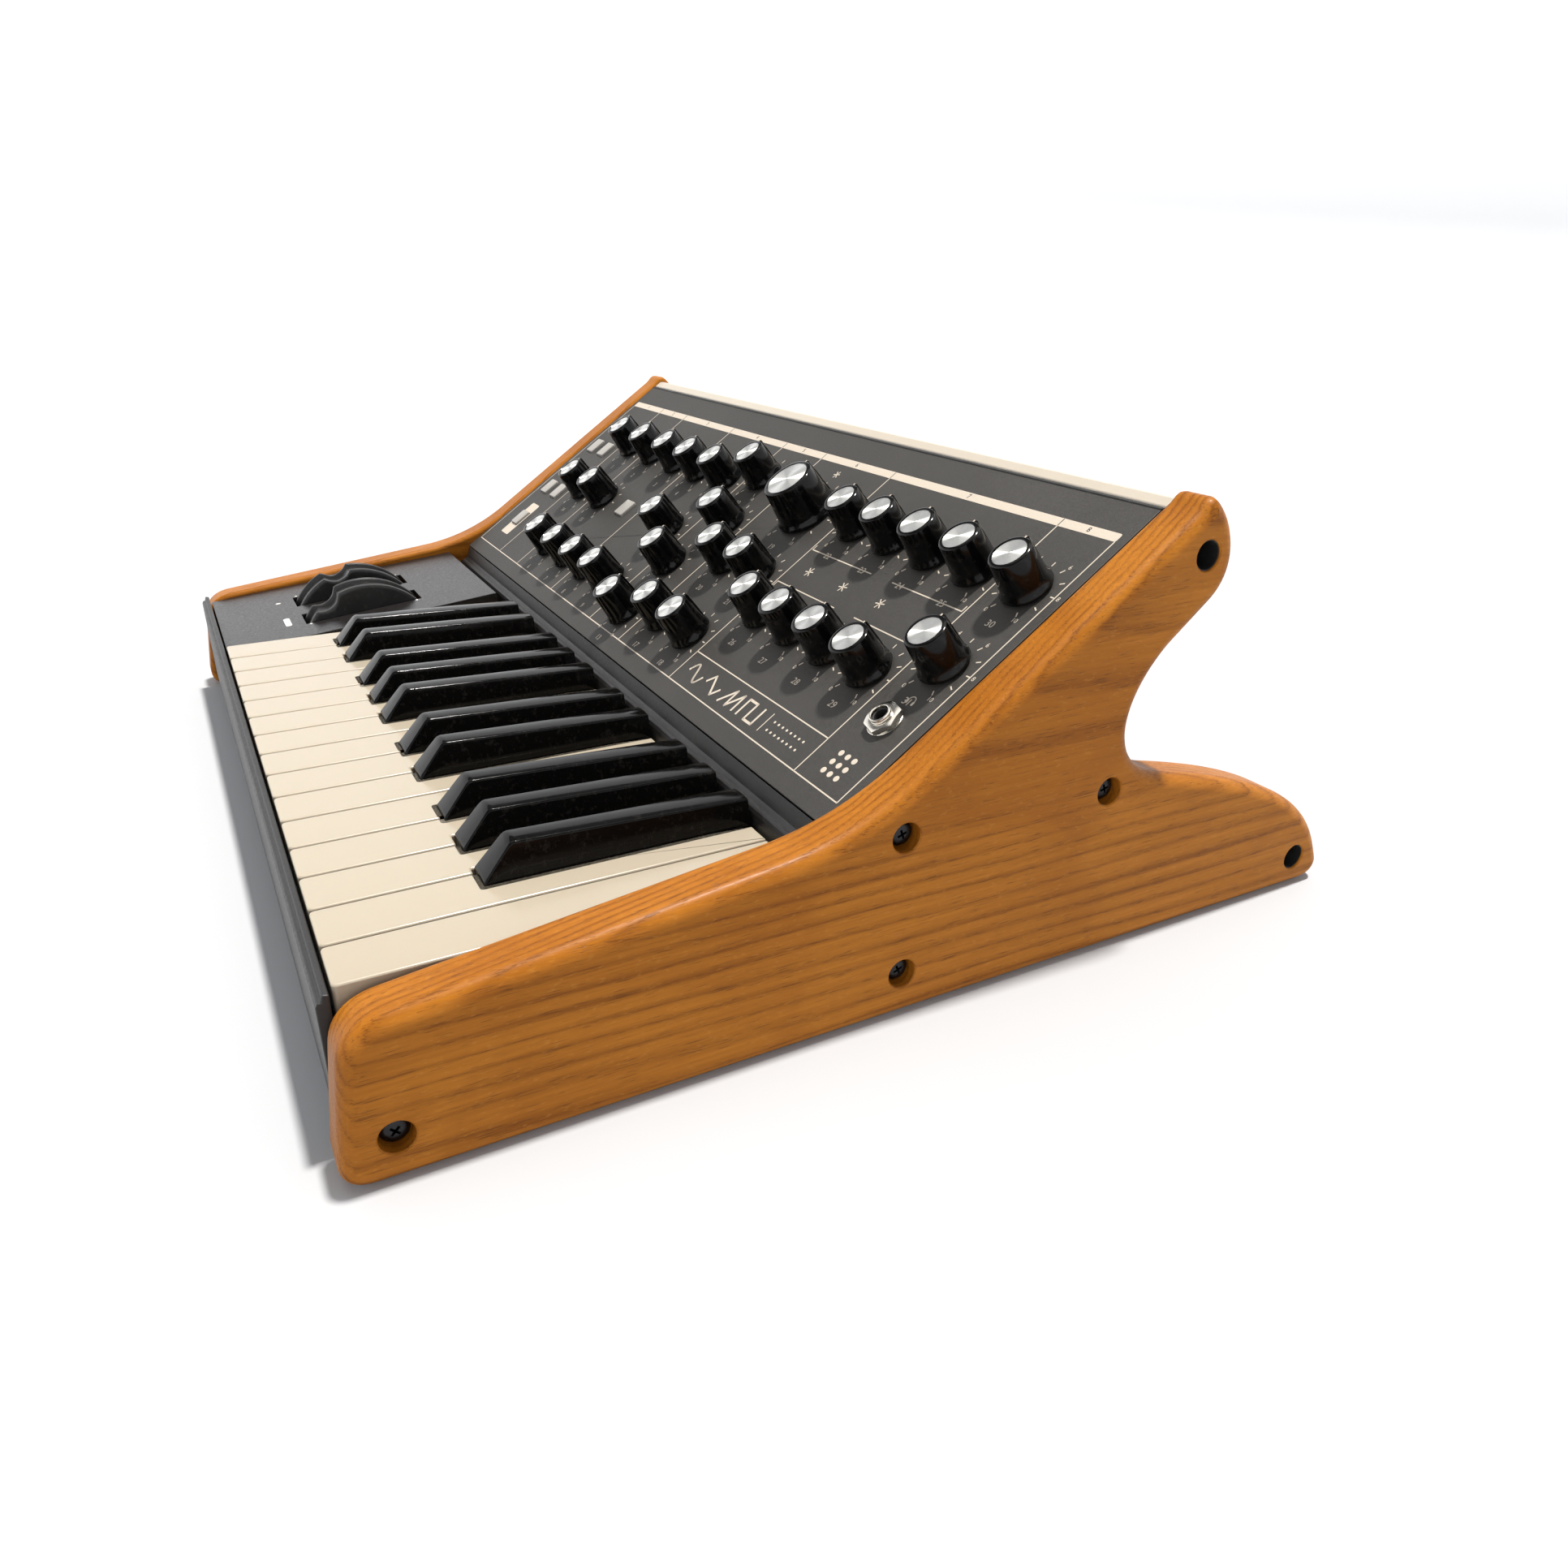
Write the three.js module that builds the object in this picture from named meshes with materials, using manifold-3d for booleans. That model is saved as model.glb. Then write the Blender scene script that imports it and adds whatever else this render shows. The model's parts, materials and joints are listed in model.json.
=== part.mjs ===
// Desktop analogue synthesizer with 25 keys, two performance wheels, a tilted
// control panel and two solid oak cheeks.  Millimetres, +Z up, +Y away from the player.
// The deck frame starts at the left edge of the lowest white key: X runs along the
// keys, Y back from their front edges, Z up from their top faces.
import * as THREE from 'three';
import { mergeVertices } from 'three/addons/utils/BufferGeometryUtils.js';
import Module from 'manifold-3d';

const wasm = await Module();
wasm.setup();

// Overall places in the deck frame
const GROUND_Z = -57.8;
const DECK_ORIGIN = [-119, -195.75, -GROUND_Z];
const GAP = 0.3;

// Cheeks and the span between them
const SPAN_LEFT = -116;
const SPAN_RIGHT = 354;
const CHEEK_THICKNESS = 19;
const CHEEK_ROUND = 3;
const COUNTERBORE_RADIUS = 5.5;
const COUNTERBORE_DEPTH = 6;
const SPARE_BORE_DEPTH = 12;
const SHANK_HOLE_RADIUS = 2.6;
const SCREW_PLACES = [[8.7, -41.7], [181.2, -40.3], [180, 13.4], [268.8, 11.2]];
const SPARE_PLACES = [[300.5, 94.6], [381.7, -43.9]];
const SCREW = { headRadius: 4.8, headHeight: 2.8, shankRadius: 2.1 };

// Steel chassis
const SHEET = 2;
const TRAY = { front: -0.4, rear: 272, bottom: -52 };
const REAR_WALL_Y = 274.5;
const REAR_BEND_Z = 44;

// Keys
const KEY_PITCH = 23.5;
const WHITE_COUNT = 15;
const WHITE_GAP = 1;
const WHITE = { length: 150.5, depth: 16 };
const BLACK = { front: 53.2, width: 13.9, topWidth: 10.4, height: 13, rearHeight: 9.9, slope: 11 };
const NOTCH_GAP = 0.9;
const TAIL = { end: 188, top: -5, bottom: -14, width: 9 };
// Offset of each black key from the gap it stands over, within one octave
const BLACK_OFFSETS = { 1: -2.5, 2: 2.5, 4: -3.8, 5: 0, 6: 3.8 };
const NOTES = ['c', 'd', 'e', 'f', 'g', 'a', 'b'];

// Control panel: a plane tilted about its lower edge
const PANEL = { tilt: 34.7, lowerY: 159.35, lowerZ: 13.7, length: 165.3, thickness: 2 };
const BOARD_TOP = -9;
const SHAFT_RADIUS = 3;
const SHAFT_HOLE_RADIUS = 3.6;

// Knobs: radius of skirt, foot and top, and height over the panel
const SMALL_KNOB = { skirt: 11.2, body: 9.8, top: 8, height: 17.8 };
const LARGE_KNOB = { skirt: 15.6, body: 14.2, top: 12, height: 21 };

// Columns (X) and rows (up the slope) of the panel's controls
const ROW = { top: 115.3, middle: 74, lower: 57.9, bottom: 31.7 };
const ENVELOPE_X = [218.3, 246.9, 275.5, 304.1];
const ENVELOPE_NAMES = ['attack', 'decay', 'sustain', 'release'];
const OUTPUT_X = 334.2;
const FILTER_X = [157.5, 187.5];
const CUTOFF = [175.5, 113.6];
const JACK_ROW = 43.6;
const RESONANCE_ROW = 72.8;
const DRIVE_ROW = 73.2;
const HEADPHONE_ROW = 73.4;
// Knobs that stay joined to the panel board
const LEFT_TOP_X = [-49.4, -15, 20.4, 51.4, 83.4];
const LEFT_BOTTOM_X = [-13.6, 18.4, 50.2, 81.3];
const MIXER = [[114, 124], [126, 91.2], [115, 57.5], [124, 23.5]];
const LEFT_OTHERS = [[-49.4, ROW.middle], [-15.5, ROW.middle], [82, ROW.middle]];
const EG_KNOBS = FILTER_X.map((x) => [x, ROW.bottom]);
const FIXED_KNOBS = [
  ...LEFT_TOP_X.map((x) => [x, ROW.top]),
  ...LEFT_BOTTOM_X.map((x) => [x, ROW.bottom]),
  ...MIXER,
  ...LEFT_OTHERS,
  ...EG_KNOBS,
];
// Knobs that turn on their own
const MOVING_KNOBS = [
  ['cutoff_knob', ...CUTOFF, LARGE_KNOB],
  ['resonance_knob', FILTER_X[0], RESONANCE_ROW, SMALL_KNOB],
  ['drive_knob', FILTER_X[1], DRIVE_ROW, SMALL_KNOB],
  ...ENVELOPE_X.map((x, i) => [`filter_${ENVELOPE_NAMES[i]}_knob`, x, ROW.top, SMALL_KNOB]),
  ...ENVELOPE_X.map((x, i) => [`amplifier_${ENVELOPE_NAMES[i]}_knob`, x, ROW.lower, SMALL_KNOB]),
  ['master_volume_knob', OUTPUT_X, ROW.top, SMALL_KNOB],
  ['headphone_volume_knob', OUTPUT_X, HEADPHONE_ROW, SMALL_KNOB],
];

// Push switches: centre X, row, width, length up the slope
const SWITCHES = {
  octave_down_switch: [-99.4, 105.6, 10, 11.2],
  octave_up_switch: [-80.6, 105.6, 10, 11.2],
  bank_switch: [-98.2, 64.2, 10, 11.2],
  preset_switch: [-79.4, 64.2, 10, 11.2],
  arpeggio_switch: [-89.2, 35.4, 10, 11.2],
  sync_switch: [18.6, 74, 11, 11.2],
};
const SWITCH_RISE = 1.4;
const SWITCH_CLEARANCE = 0.35;

// Rear connectors: places (X, Z), outer radius and bore radius
const REAR_JACKS = [[290, 12], [262, 12], [234, 12], [206, 12]];
const REAR_JACK = { radius: 6, bore: 3.3, depth: 17 };
const DIN_SOCKETS = [[160, 12], [130, 12]];
const DIN = { radius: 8.8, bore: 7, depth: 8 };
const POWER_INLET = { centre: [-70, 10], width: 24, height: 20, wall: 2, depth: 14 };
const PANEL_HOLE_CLEARANCE = 0.4;

// Performance wheels
const WHEEL = { radius: 38, width: 19, y: 78, z: -20.5, hub: 8, flat: -5 };
const PITCH_WHEEL_X = -75;
const MOD_WHEEL_X = -35;
const WHEEL_SLOT = { middle: 75.9, length: 64.6, clearance: 1.2 };
// Its panel leans up to the rear from a front edge below the key tops
const WHEEL_PANEL = { lean: 6.1, frontZ: -5, length: 146.5, skirt: 22, lugTop: 1.4 };
const NOTCH_RADIUS = 9;
const NOTCH_DEPTH = 4.5;
const AXLE_RADIUS = 3;
const BEARING_RADIUS = 3.4;
const BEARING_OFFSET = 13.5;
const PITCH_NOTCH_ANGLE = -15;
const MOD_NOTCH_ANGLE = -36;

// Materials
const finish = (color, roughness, metalness) => ({ color, roughness, metalness });
const OAK = finish(0x9a5f28, 0.45, 0);
const STEEL = finish(0x2b2a29, 0.6, 0.4);
const PANEL_PAINT = finish(0x45423e, 0.65, 0.2);
const CREAM = finish(0xe6dac6, 0.4, 0);
const IVORY = finish(0xe3d4ba, 0.25, 0);
const EBONY = finish(0x0a0a0a, 0.15, 0);
const RUBBERY = finish(0x1c1b1b, 0.55, 0);
const SWITCH_WHITE = finish(0xc9c4bb, 0.4, 0);
const CHROME = finish(0xc8c8c4, 0.2, 1);
const GREEN_BOARD = finish(0x1d4a2c, 0.5, 0);
const KEYBED_GREY = finish(0x222222, 0.6, 0);

const AXIS_X = new THREE.Vector3(1, 0, 0);
const AXIS_Y = new THREE.Vector3(0, 1, 0);
const AXIS_Z = new THREE.Vector3(0, 0, 1);

const radians = (degrees) => (degrees * Math.PI) / 180;

// ---- Solids -------------------------------------------------------------

function toManifold(geometry) {
  const bare = geometry.clone();
  bare.deleteAttribute('normal');
  bare.deleteAttribute('uv');
  const merged = mergeVertices(bare, 1e-4);
  const mesh = new wasm.Mesh({
    numProp: 3,
    vertProperties: new Float32Array(merged.attributes.position.array),
    triVerts: new Uint32Array(merged.index.array),
  });
  return new wasm.Manifold(mesh);
}

function toGeometry(solid) {
  const { vertProperties, triVerts } = solid.getMesh();
  const geometry = new THREE.BufferGeometry();
  geometry.setAttribute('position', new THREE.BufferAttribute(vertProperties, 3));
  geometry.setIndex(new THREE.BufferAttribute(triVerts, 1));
  return geometry;
}

const join = (first, ...rest) => {
  const sum = rest.reduce((solid, piece) => solid.add(toManifold(piece)), toManifold(first));
  return toGeometry(sum);
};

const cut = (body, ...tools) => {
  const rest = tools.reduce((solid, tool) => solid.subtract(toManifold(tool)), toManifold(body));
  return toGeometry(rest);
};

function box(low, high) {
  const size = high.map((value, axis) => value - low[axis]);
  const middle = high.map((value, axis) => (value + low[axis]) / 2);
  return new THREE.BoxGeometry(...size).translate(...middle);
}

// A cylinder along X, Y or Z, from a base centre and over a signed length
function rod(axis, base, length, radius, sides = 16) {
  const geometry = new THREE.CylinderGeometry(radius, radius, Math.abs(length), sides);
  geometry.translate(0, length / 2, 0);
  if (axis === 'x') geometry.rotateZ(-Math.PI / 2);
  if (axis === 'z') geometry.rotateX(Math.PI / 2);
  return geometry.translate(...base);
}

// Extrudes an outline drawn in (Y, Z) along X, from x to x + width
function extrudeAlongX(shape, x, width, curveSegments = 8, round = 0) {
  const settings = { depth: width - 2 * round, curveSegments, steps: 1, bevelEnabled: round > 0 };
  Object.assign(settings, { bevelThickness: round, bevelSize: round, bevelOffset: -round });
  const geometry = new THREE.ExtrudeGeometry(shape, { ...settings, bevelSegments: 1 });
  const alongX = new THREE.Matrix4().makeBasis(AXIS_Y, AXIS_Z, AXIS_X);
  geometry.applyMatrix4(alongX.setPosition(x + round, 0, 0));
  return geometry;
}

// Extrudes an outline drawn in (X, Y) upwards, from z to z + height
function extrudeUp(shape, z, height, curveSegments = 8) {
  const settings = { depth: height, curveSegments, bevelEnabled: false };
  return new THREE.ExtrudeGeometry(shape, settings).translate(0, 0, z);
}

function outline(points) {
  return new THREE.Shape(points.map(([a, b]) => new THREE.Vector2(a, b)));
}

// An upright cutter of a rectangular opening, centred on (x, y)
function slotCutter(x, y, width, length, depth = 20) {
  const low = [x - width / 2, y - length / 2, -depth / 2];
  return box(low, [x + width / 2, y + length / 2, depth / 2]);
}

function part(name, geometry, look) {
  const mesh = new THREE.Mesh(geometry, new THREE.MeshStandardMaterial(look));
  mesh.name = name;
  return mesh;
}

// ---- Wooden cheeks ------------------------------------------------------

function cheekShape() {
  const shape = new THREE.Shape();
  shape.moveTo(1.5, GROUND_Z);
  shape.lineTo(389, GROUND_Z);
  shape.quadraticCurveTo(399.75, GROUND_Z, 399.75, -49);
  shape.bezierCurveTo(392, -29, 382, -8, 300, 11);
  shape.bezierCurveTo(268, 18, 270, 44, 289.7, 62.7);
  shape.lineTo(306, 76);
  shape.bezierCurveTo(320, 87, 314, 105, 304.5, 113);
  shape.quadraticCurveTo(301, 116, 297, 110.3);
  shape.lineTo(188.5, 35);
  shape.quadraticCurveTo(163, 17.4, 133, 13.8);
  shape.lineTo(12, -1);
  shape.quadraticCurveTo(-2.5, -2.6, -4, -16);
  shape.lineTo(-8.25, -49);
  shape.quadraticCurveTo(-8.25, GROUND_Z, 1.5, GROUND_Z);
  return shape;
}

function cheek(name, innerX, side) {
  const outerX = innerX + side * CHEEK_THICKNESS;
  const lowX = Math.min(innerX, outerX);
  const board = extrudeAlongX(cheekShape(), lowX, CHEEK_THICKNESS, 8, CHEEK_ROUND);
  const bores = (places, depth) => places.flatMap(([y, z]) => [
    rod('x', [outerX + side, y, z], -side * (depth + 1), COUNTERBORE_RADIUS),
    rod('x', [outerX + side, y, z], -side * (CHEEK_THICKNESS + 2), SHANK_HOLE_RADIUS),
  ]);
  const tools = [...bores(SCREW_PLACES, COUNTERBORE_DEPTH), ...bores(SPARE_PLACES, SPARE_BORE_DEPTH)];
  return part(name, cut(board, ...tools), OAK);
}

// ---- Steel chassis ------------------------------------------------------

function endPlate(x) {
  const side = [
    [TRAY.front, TRAY.bottom], [TRAY.rear, TRAY.bottom], [TRAY.rear, REAR_BEND_Z],
    [289, 96], [282, 93], [168, 13], [158, 4], [156, -31.5], [TRAY.front, -31.5],
  ];
  return extrudeAlongX(outline(side), x, SHEET);
}

// One cheek screw: the head sits in the counterbore and the shank ends inside the end plate
function cheekScrew(innerX, side, [y, z]) {
  const seatX = innerX + side * (CHEEK_THICKNESS - COUNTERBORE_DEPTH + GAP);
  const plateX = innerX - side * SHEET;
  return [
    rod('x', [seatX, y, z], side * SCREW.headHeight, SCREW.headRadius, 12),
    rod('x', [plateX, y, z], seatX - plateX + side, SCREW.shankRadius, 8),
  ];
}

function chassisTray() {
  const floorLow = [SPAN_LEFT + GAP, TRAY.front, TRAY.bottom];
  const floor = box(floorLow, [SPAN_RIGHT - GAP, TRAY.rear, TRAY.bottom + SHEET]);
  const ends = [endPlate(SPAN_LEFT + GAP), endPlate(SPAN_RIGHT - GAP - SHEET)];
  const screws = SCREW_PLACES.flatMap((place) => [
    ...cheekScrew(SPAN_LEFT, -1, place),
    ...cheekScrew(SPAN_RIGHT, 1, place),
  ]);
  return part('chassis_tray', join(floor, ...ends, ...screws), STEEL);
}

function keySlip() {
  const side = [
    [-5.2, -50], [-3, -50], [-3, -34], [-1, -34], [-1, -1.6], [-2.6, -1.2],
    [-3.1, -1.6], [-3.4, -3.4], [-4.6, -3.6], [-5.2, -5],
  ];
  const width = SPAN_RIGHT - SPAN_LEFT - 2 * GAP;
  return part('key_slip', extrudeAlongX(outline(side), SPAN_LEFT + GAP, width), STEEL);
}

// The rail closes the space between the keys and the lower edge of the panel
function frontRail() {
  const side = new THREE.Shape();
  side.moveTo(151.5, -3.6);
  side.lineTo(152, 1.5);
  side.quadraticCurveTo(152.6, 6.4, 155, 5.6);
  side.lineTo(156.6, 7.2);
  side.lineTo(158.9, 13.2);
  side.lineTo(160.8, 10.6);
  side.lineTo(158.6, 5);
  side.lineTo(155.4, 2.6);
  side.lineTo(153.6, -3.6);
  const width = SPAN_RIGHT - SPAN_LEFT - 2 * GAP - 2 * SHEET - 1;
  return part('front_rail', extrudeAlongX(side, SPAN_LEFT + GAP + SHEET + 0.5, width, 4), STEEL);
}

const inletHalves = (extra) => [POWER_INLET.width / 2 + extra, POWER_INLET.height / 2 + extra];

function rearPanel() {
  const side = [
    [REAR_WALL_Y, TRAY.bottom], [REAR_WALL_Y, REAR_BEND_Z], [300, 96], [297.6, 97],
    [REAR_WALL_Y - SHEET, REAR_BEND_Z + 1], [REAR_WALL_Y - SHEET, TRAY.bottom],
  ];
  const width = SPAN_RIGHT - SPAN_LEFT - 2 * GAP;
  const wall = extrudeAlongX(outline(side), SPAN_LEFT + GAP, width);
  const hole = ([x, z], radius) => {
    return rod('y', [x, REAR_WALL_Y + 2, z], -8, radius + PANEL_HOLE_CLEARANCE, 12);
  };
  const holes = REAR_JACKS.map((place) => hole(place, REAR_JACK.radius));
  holes.push(...DIN_SOCKETS.map((place) => hole(place, DIN.radius)));
  const [halfW, halfH] = inletHalves(PANEL_HOLE_CLEARANCE);
  const [x, z] = POWER_INLET.centre;
  const inletLow = [x - halfW, REAR_WALL_Y - 6, z - halfH];
  holes.push(box(inletLow, [x + halfW, REAR_WALL_Y + 2, z + halfH]));
  return part('rear_panel', cut(wall, ...holes), STEEL);
}

function rearTopStrip() {
  const side = new THREE.Shape();
  side.moveTo(296.4, 106.2);
  side.lineTo(296.9, 108.6);
  side.lineTo(300.4, 110.9);
  side.quadraticCurveTo(304.6, 111.6, 304.8, 107);
  side.lineTo(304.8, 98);
  side.lineTo(302.6, 97.4);
  side.lineTo(302.4, 105.6);
  side.quadraticCurveTo(302, 108.6, 299.6, 107.6);
  const width = SPAN_RIGHT - SPAN_LEFT - 2 * GAP;
  return part('rear_top_strip', extrudeAlongX(side, SPAN_LEFT + GAP, width, 4), CREAM);
}

// ---- Rear connectors ----------------------------------------------------

// Jacks, sockets and power inlet on one board behind the rear panel
function rearConnectors() {
  const wall = REAR_WALL_Y;
  const boardY = wall - 23;
  const [inletX, inletZ] = POWER_INLET.centre;
  const [halfW, halfH] = inletHalves(0);
  const [innerW, innerH] = inletHalves(-POWER_INLET.wall);
  const board = box([inletX - 20, boardY - 1, -8], [304, boardY + 1, 26]);
  const bodies = [
    ...REAR_JACKS.map(([x, z]) => rod('y', [x, boardY, z], 24.6, REAR_JACK.radius, 12)),
    ...DIN_SOCKETS.map(([x, z]) => rod('y', [x, boardY, z], 23.6, DIN.radius, 12)),
    box([inletX - halfW, boardY, inletZ - halfH], [inletX + halfW, wall + 0.8, inletZ + halfH]),
  ];
  const bore = ([x, z], { bore: radius, depth }) => rod('y', [x, wall + 3, z], -depth - 3, radius, 12);
  const recessLow = [inletX - innerW, wall - POWER_INLET.depth, inletZ - innerH];
  const bores = [
    ...REAR_JACKS.map((place) => bore(place, REAR_JACK)),
    ...DIN_SOCKETS.map((place) => bore(place, DIN)),
    box(recessLow, [inletX + innerW, wall + 3, inletZ + innerH]),
  ];
  return part('rear_connectors', cut(join(board, ...bodies), ...bores), EBONY);
}

// ---- Keyboard -----------------------------------------------------------

const octaveStep = (index) => index % 7;

function blackCentre(gap) {
  return gap * KEY_PITCH + BLACK_OFFSETS[octaveStep(gap)];
}

const hasBlack = (gap) => gap > 0 && gap < WHITE_COUNT - 1 && octaveStep(gap) in BLACK_OFFSETS;

// Top view of a white key, narrowed behind the front edge of each neighbouring black key
function whiteKey(index) {
  const left = index * KEY_PITCH + WHITE_GAP / 2;
  const right = (index + 1) * KEY_PITCH - WHITE_GAP / 2;
  const reach = BLACK.width / 2 + NOTCH_GAP;
  const notchY = BLACK.front - NOTCH_GAP;
  const innerLeft = hasBlack(index) ? blackCentre(index) + reach : left;
  const innerRight = hasBlack(index + 1) ? blackCentre(index + 1) - reach : right;
  const plan = [[left, 0], [right, 0], [right, notchY], [innerRight, notchY]];
  plan.push([innerRight, WHITE.length], [innerLeft, WHITE.length], [innerLeft, notchY], [left, notchY]);
  const corners = plan.filter(([x, y], i) => i === 0 || x !== plan[i - 1][0] || y !== plan[i - 1][1]);
  const cap = extrudeUp(outline(corners), -WHITE.depth, WHITE.depth);
  const middle = (innerLeft + innerRight) / 2;
  return join(cap, tail(middle));
}

function tail(x) {
  const half = TAIL.width / 2;
  return box([x - half, WHITE.length - 6, TAIL.bottom], [x + half, TAIL.end, TAIL.top]);
}

// Closed skin over a stack of outlines that all have the same number of points
function loft(sections) {
  const count = sections[0].length;
  const positions = sections.flat(2);
  const faces = [];
  for (let level = 0; level < sections.length - 1; level += 1) {
    for (let i = 0; i < count; i += 1) {
      const [a, b] = [level * count + i, level * count + ((i + 1) % count)];
      faces.push(a, b, b + count, a, b + count, a + count);
    }
  }
  const top = (sections.length - 1) * count;
  for (let i = 1; i < count - 1; i += 1) {
    faces.push(0, i + 1, i);
    faces.push(top, top + i, top + i + 1);
  }
  const geometry = new THREE.BufferGeometry();
  geometry.setAttribute('position', new THREE.Float32BufferAttribute(positions, 3));
  geometry.setIndex(faces);
  return geometry;
}

function blackKey(gap) {
  const x = blackCentre(gap);
  const [half, halfTop] = [BLACK.width / 2, BLACK.topWidth / 2];
  const [front, rear] = [BLACK.front, WHITE.length];
  const ring = (w, y, zFront, zRear) => {
    return [[x - w, y, zFront], [x + w, y, zFront], [x + w, rear, zRear], [x - w, rear, zRear]];
  };
  const low = ring(half, front, -WHITE.depth, -WHITE.depth);
  const middle = ring(half, front, 0, 0);
  const top = ring(halfTop, front + BLACK.slope, BLACK.height, BLACK.rearHeight);
  return join(loft([low, middle, top]), tail(x));
}

function keyboard() {
  const keys = [];
  for (let index = 0; index < WHITE_COUNT; index += 1) {
    const octave = Math.floor(index / 7) + 1;
    const note = NOTES[octaveStep(index)];
    keys.push(part(`key_${note}${octave}`, whiteKey(index), IVORY));
    const gap = index + 1;
    if (hasBlack(gap)) keys.push(part(`key_${note}_sharp${octave}`, blackKey(gap), EBONY));
  }
  return keys;
}

// Keybed plate on legs, with the bar that the key tails turn on
function keybed() {
  const plate = box([1, 6, -31], [350, 176, -29.4]);
  const stopFelt = box([2, 10, -30], [349, 24, -27.6]);
  const pivotBar = box([2, 174, -31], [349, 187, -14.6]);
  const contactStrip = box([3, 70, -30], [348, 104, -28.2]);
  const legs = [20, 176, 330].flatMap((x) => [20, 160].map((y) => {
    return rod('z', [x, y, TRAY.bottom + SHEET + GAP], 20, 4, 10);
  }));
  return part('keybed', join(plate, stopFelt, pivotBar, contactStrip, ...legs), KEYBED_GREY);
}

// ---- Performance wheels -------------------------------------------------

// Side outline of a wheel in (Y, Z) about its axle: a disc cut off below the hub,
// turned so that its finger notch stands at the given angle from upright
function wheelSolid(x, notchAngle, coverAngle) {
  const { radius, width, hub, flat } = WHEEL;
  const start = Math.asin(flat / radius);
  const disc = new THREE.Shape();
  disc.absarc(0, 0, radius, start, Math.PI - start, false);
  disc.lineTo(-hub, flat - hub);
  disc.lineTo(hub, flat - hub);
  const body = extrudeAlongX(disc, -width / 2, width, 20);
  body.rotateX(radians(-coverAngle));
  const reach = radius + NOTCH_RADIUS - NOTCH_DEPTH;
  const notchY = Math.sin(radians(notchAngle)) * reach;
  const notchZ = Math.cos(radians(notchAngle)) * reach;
  const notch = rod('x', [-width / 2 - 1, notchY, notchZ], width + 2, NOTCH_RADIUS, 16);
  const axle = rod('x', [-BEARING_OFFSET - 2, 0, 0], 2 * BEARING_OFFSET + 4, AXLE_RADIUS, 10);
  const solid = join(cut(body, notch), axle);
  return solid.translate(x, WHEEL.y, WHEEL.z);
}

function wheelPanel() {
  const [left, right] = [SPAN_LEFT + GAP, -1.4];
  const slotWidth = WHEEL.width + 2 * WHEEL_SLOT.clearance;
  const slots = [PITCH_WHEEL_X, MOD_WHEEL_X].map((x) => {
    return slotCutter(x, WHEEL_SLOT.middle, slotWidth, WHEEL_SLOT.length);
  });
  const top = cut(box([left, 0, -SHEET], [right, WHEEL_PANEL.length, 0]), ...slots);
  const wall = box([right - SHEET, 0, -WHEEL_PANEL.skirt], [right, WHEEL_PANEL.length, -1]);
  const cover = join(top, wall).rotateX(radians(WHEEL_PANEL.lean)).translate(0, 0, WHEEL_PANEL.frontZ);
  const brackets = [PITCH_WHEEL_X, MOD_WHEEL_X].flatMap((x) => [
    bearingBracket(x - BEARING_OFFSET),
    bearingBracket(x + BEARING_OFFSET),
  ]);
  return part('wheel_panel', join(cover, ...brackets), STEEL);
}

// A lug hanging from the wheel panel, bored for the end of a wheel's axle
function bearingBracket(x) {
  const lug = box([x - 1.5, WHEEL.y - 8, WHEEL.z - 8], [x + 1.5, WHEEL.y + 8, WHEEL_PANEL.lugTop]);
  return cut(lug, rod('x', [x - 3, WHEEL.y, WHEEL.z], 6, BEARING_RADIUS, 12));
}

// ---- Control panel and its board ----------------------------------------

// Knob turned about its own axis, from its skirt at the panel to its top
function knobSolid({ skirt, body, top, height }, shaftLow, sides) {
  const profile = [
    [0, shaftLow], [SHAFT_RADIUS, shaftLow], [SHAFT_RADIUS, 0.8], [skirt, 0.8],
    [skirt - 0.2, 2.4], [body, 4], [top, height], [0, height],
  ];
  const points = profile.map(([r, h]) => new THREE.Vector2(r, h));
  return new THREE.LatheGeometry(points, sides).rotateX(Math.PI / 2);
}

function controlPanel() {
  const plate = box([SPAN_LEFT + GAP, 0, -PANEL.thickness], [SPAN_RIGHT - GAP, PANEL.length, 0]);
  const knobs = [...MOVING_KNOBS.map(([, x, y]) => [x, y]), ...FIXED_KNOBS];
  const shaftHoles = knobs.map(([x, y]) => rod('z', [x, y, -5], 10, SHAFT_HOLE_RADIUS, 8));
  const grow = 2 * SWITCH_CLEARANCE;
  const switchHoles = Object.values(SWITCHES).map(([x, y, width, length]) => {
    return slotCutter(x, y, width + grow, length + grow);
  });
  const jackHole = rod('z', [OUTPUT_X, JACK_ROW, -5], 10, 4.9, 16);
  return part('control_panel', cut(plate, ...shaftHoles, ...switchHoles, jackHole), PANEL_PAINT);
}

function potBoard() {
  const plate = box([-108, 6, BOARD_TOP - 1.6], [346, 132, BOARD_TOP]);
  const knobs = FIXED_KNOBS.map(([x, y]) => knobSolid(SMALL_KNOB, BOARD_TOP - 1, 8).translate(x, y, 0));
  return part('pot_board', join(plate, ...knobs), GREEN_BOARD);
}

function movingKnobs() {
  return MOVING_KNOBS.map(([name, x, y, size]) => {
    const mesh = part(name, knobSolid(size, BOARD_TOP + GAP, 16), EBONY);
    mesh.position.set(x, y, 0);
    return mesh;
  });
}

function pushSwitches() {
  return Object.entries(SWITCHES).map(([name, [x, y, width, length]]) => {
    const cap = box([-width / 2, -length / 2, -5], [width / 2, length / 2, SWITCH_RISE]);
    const mesh = part(name, cap, SWITCH_WHITE);
    mesh.position.set(x, y, 0);
    return mesh;
  });
}

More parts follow.
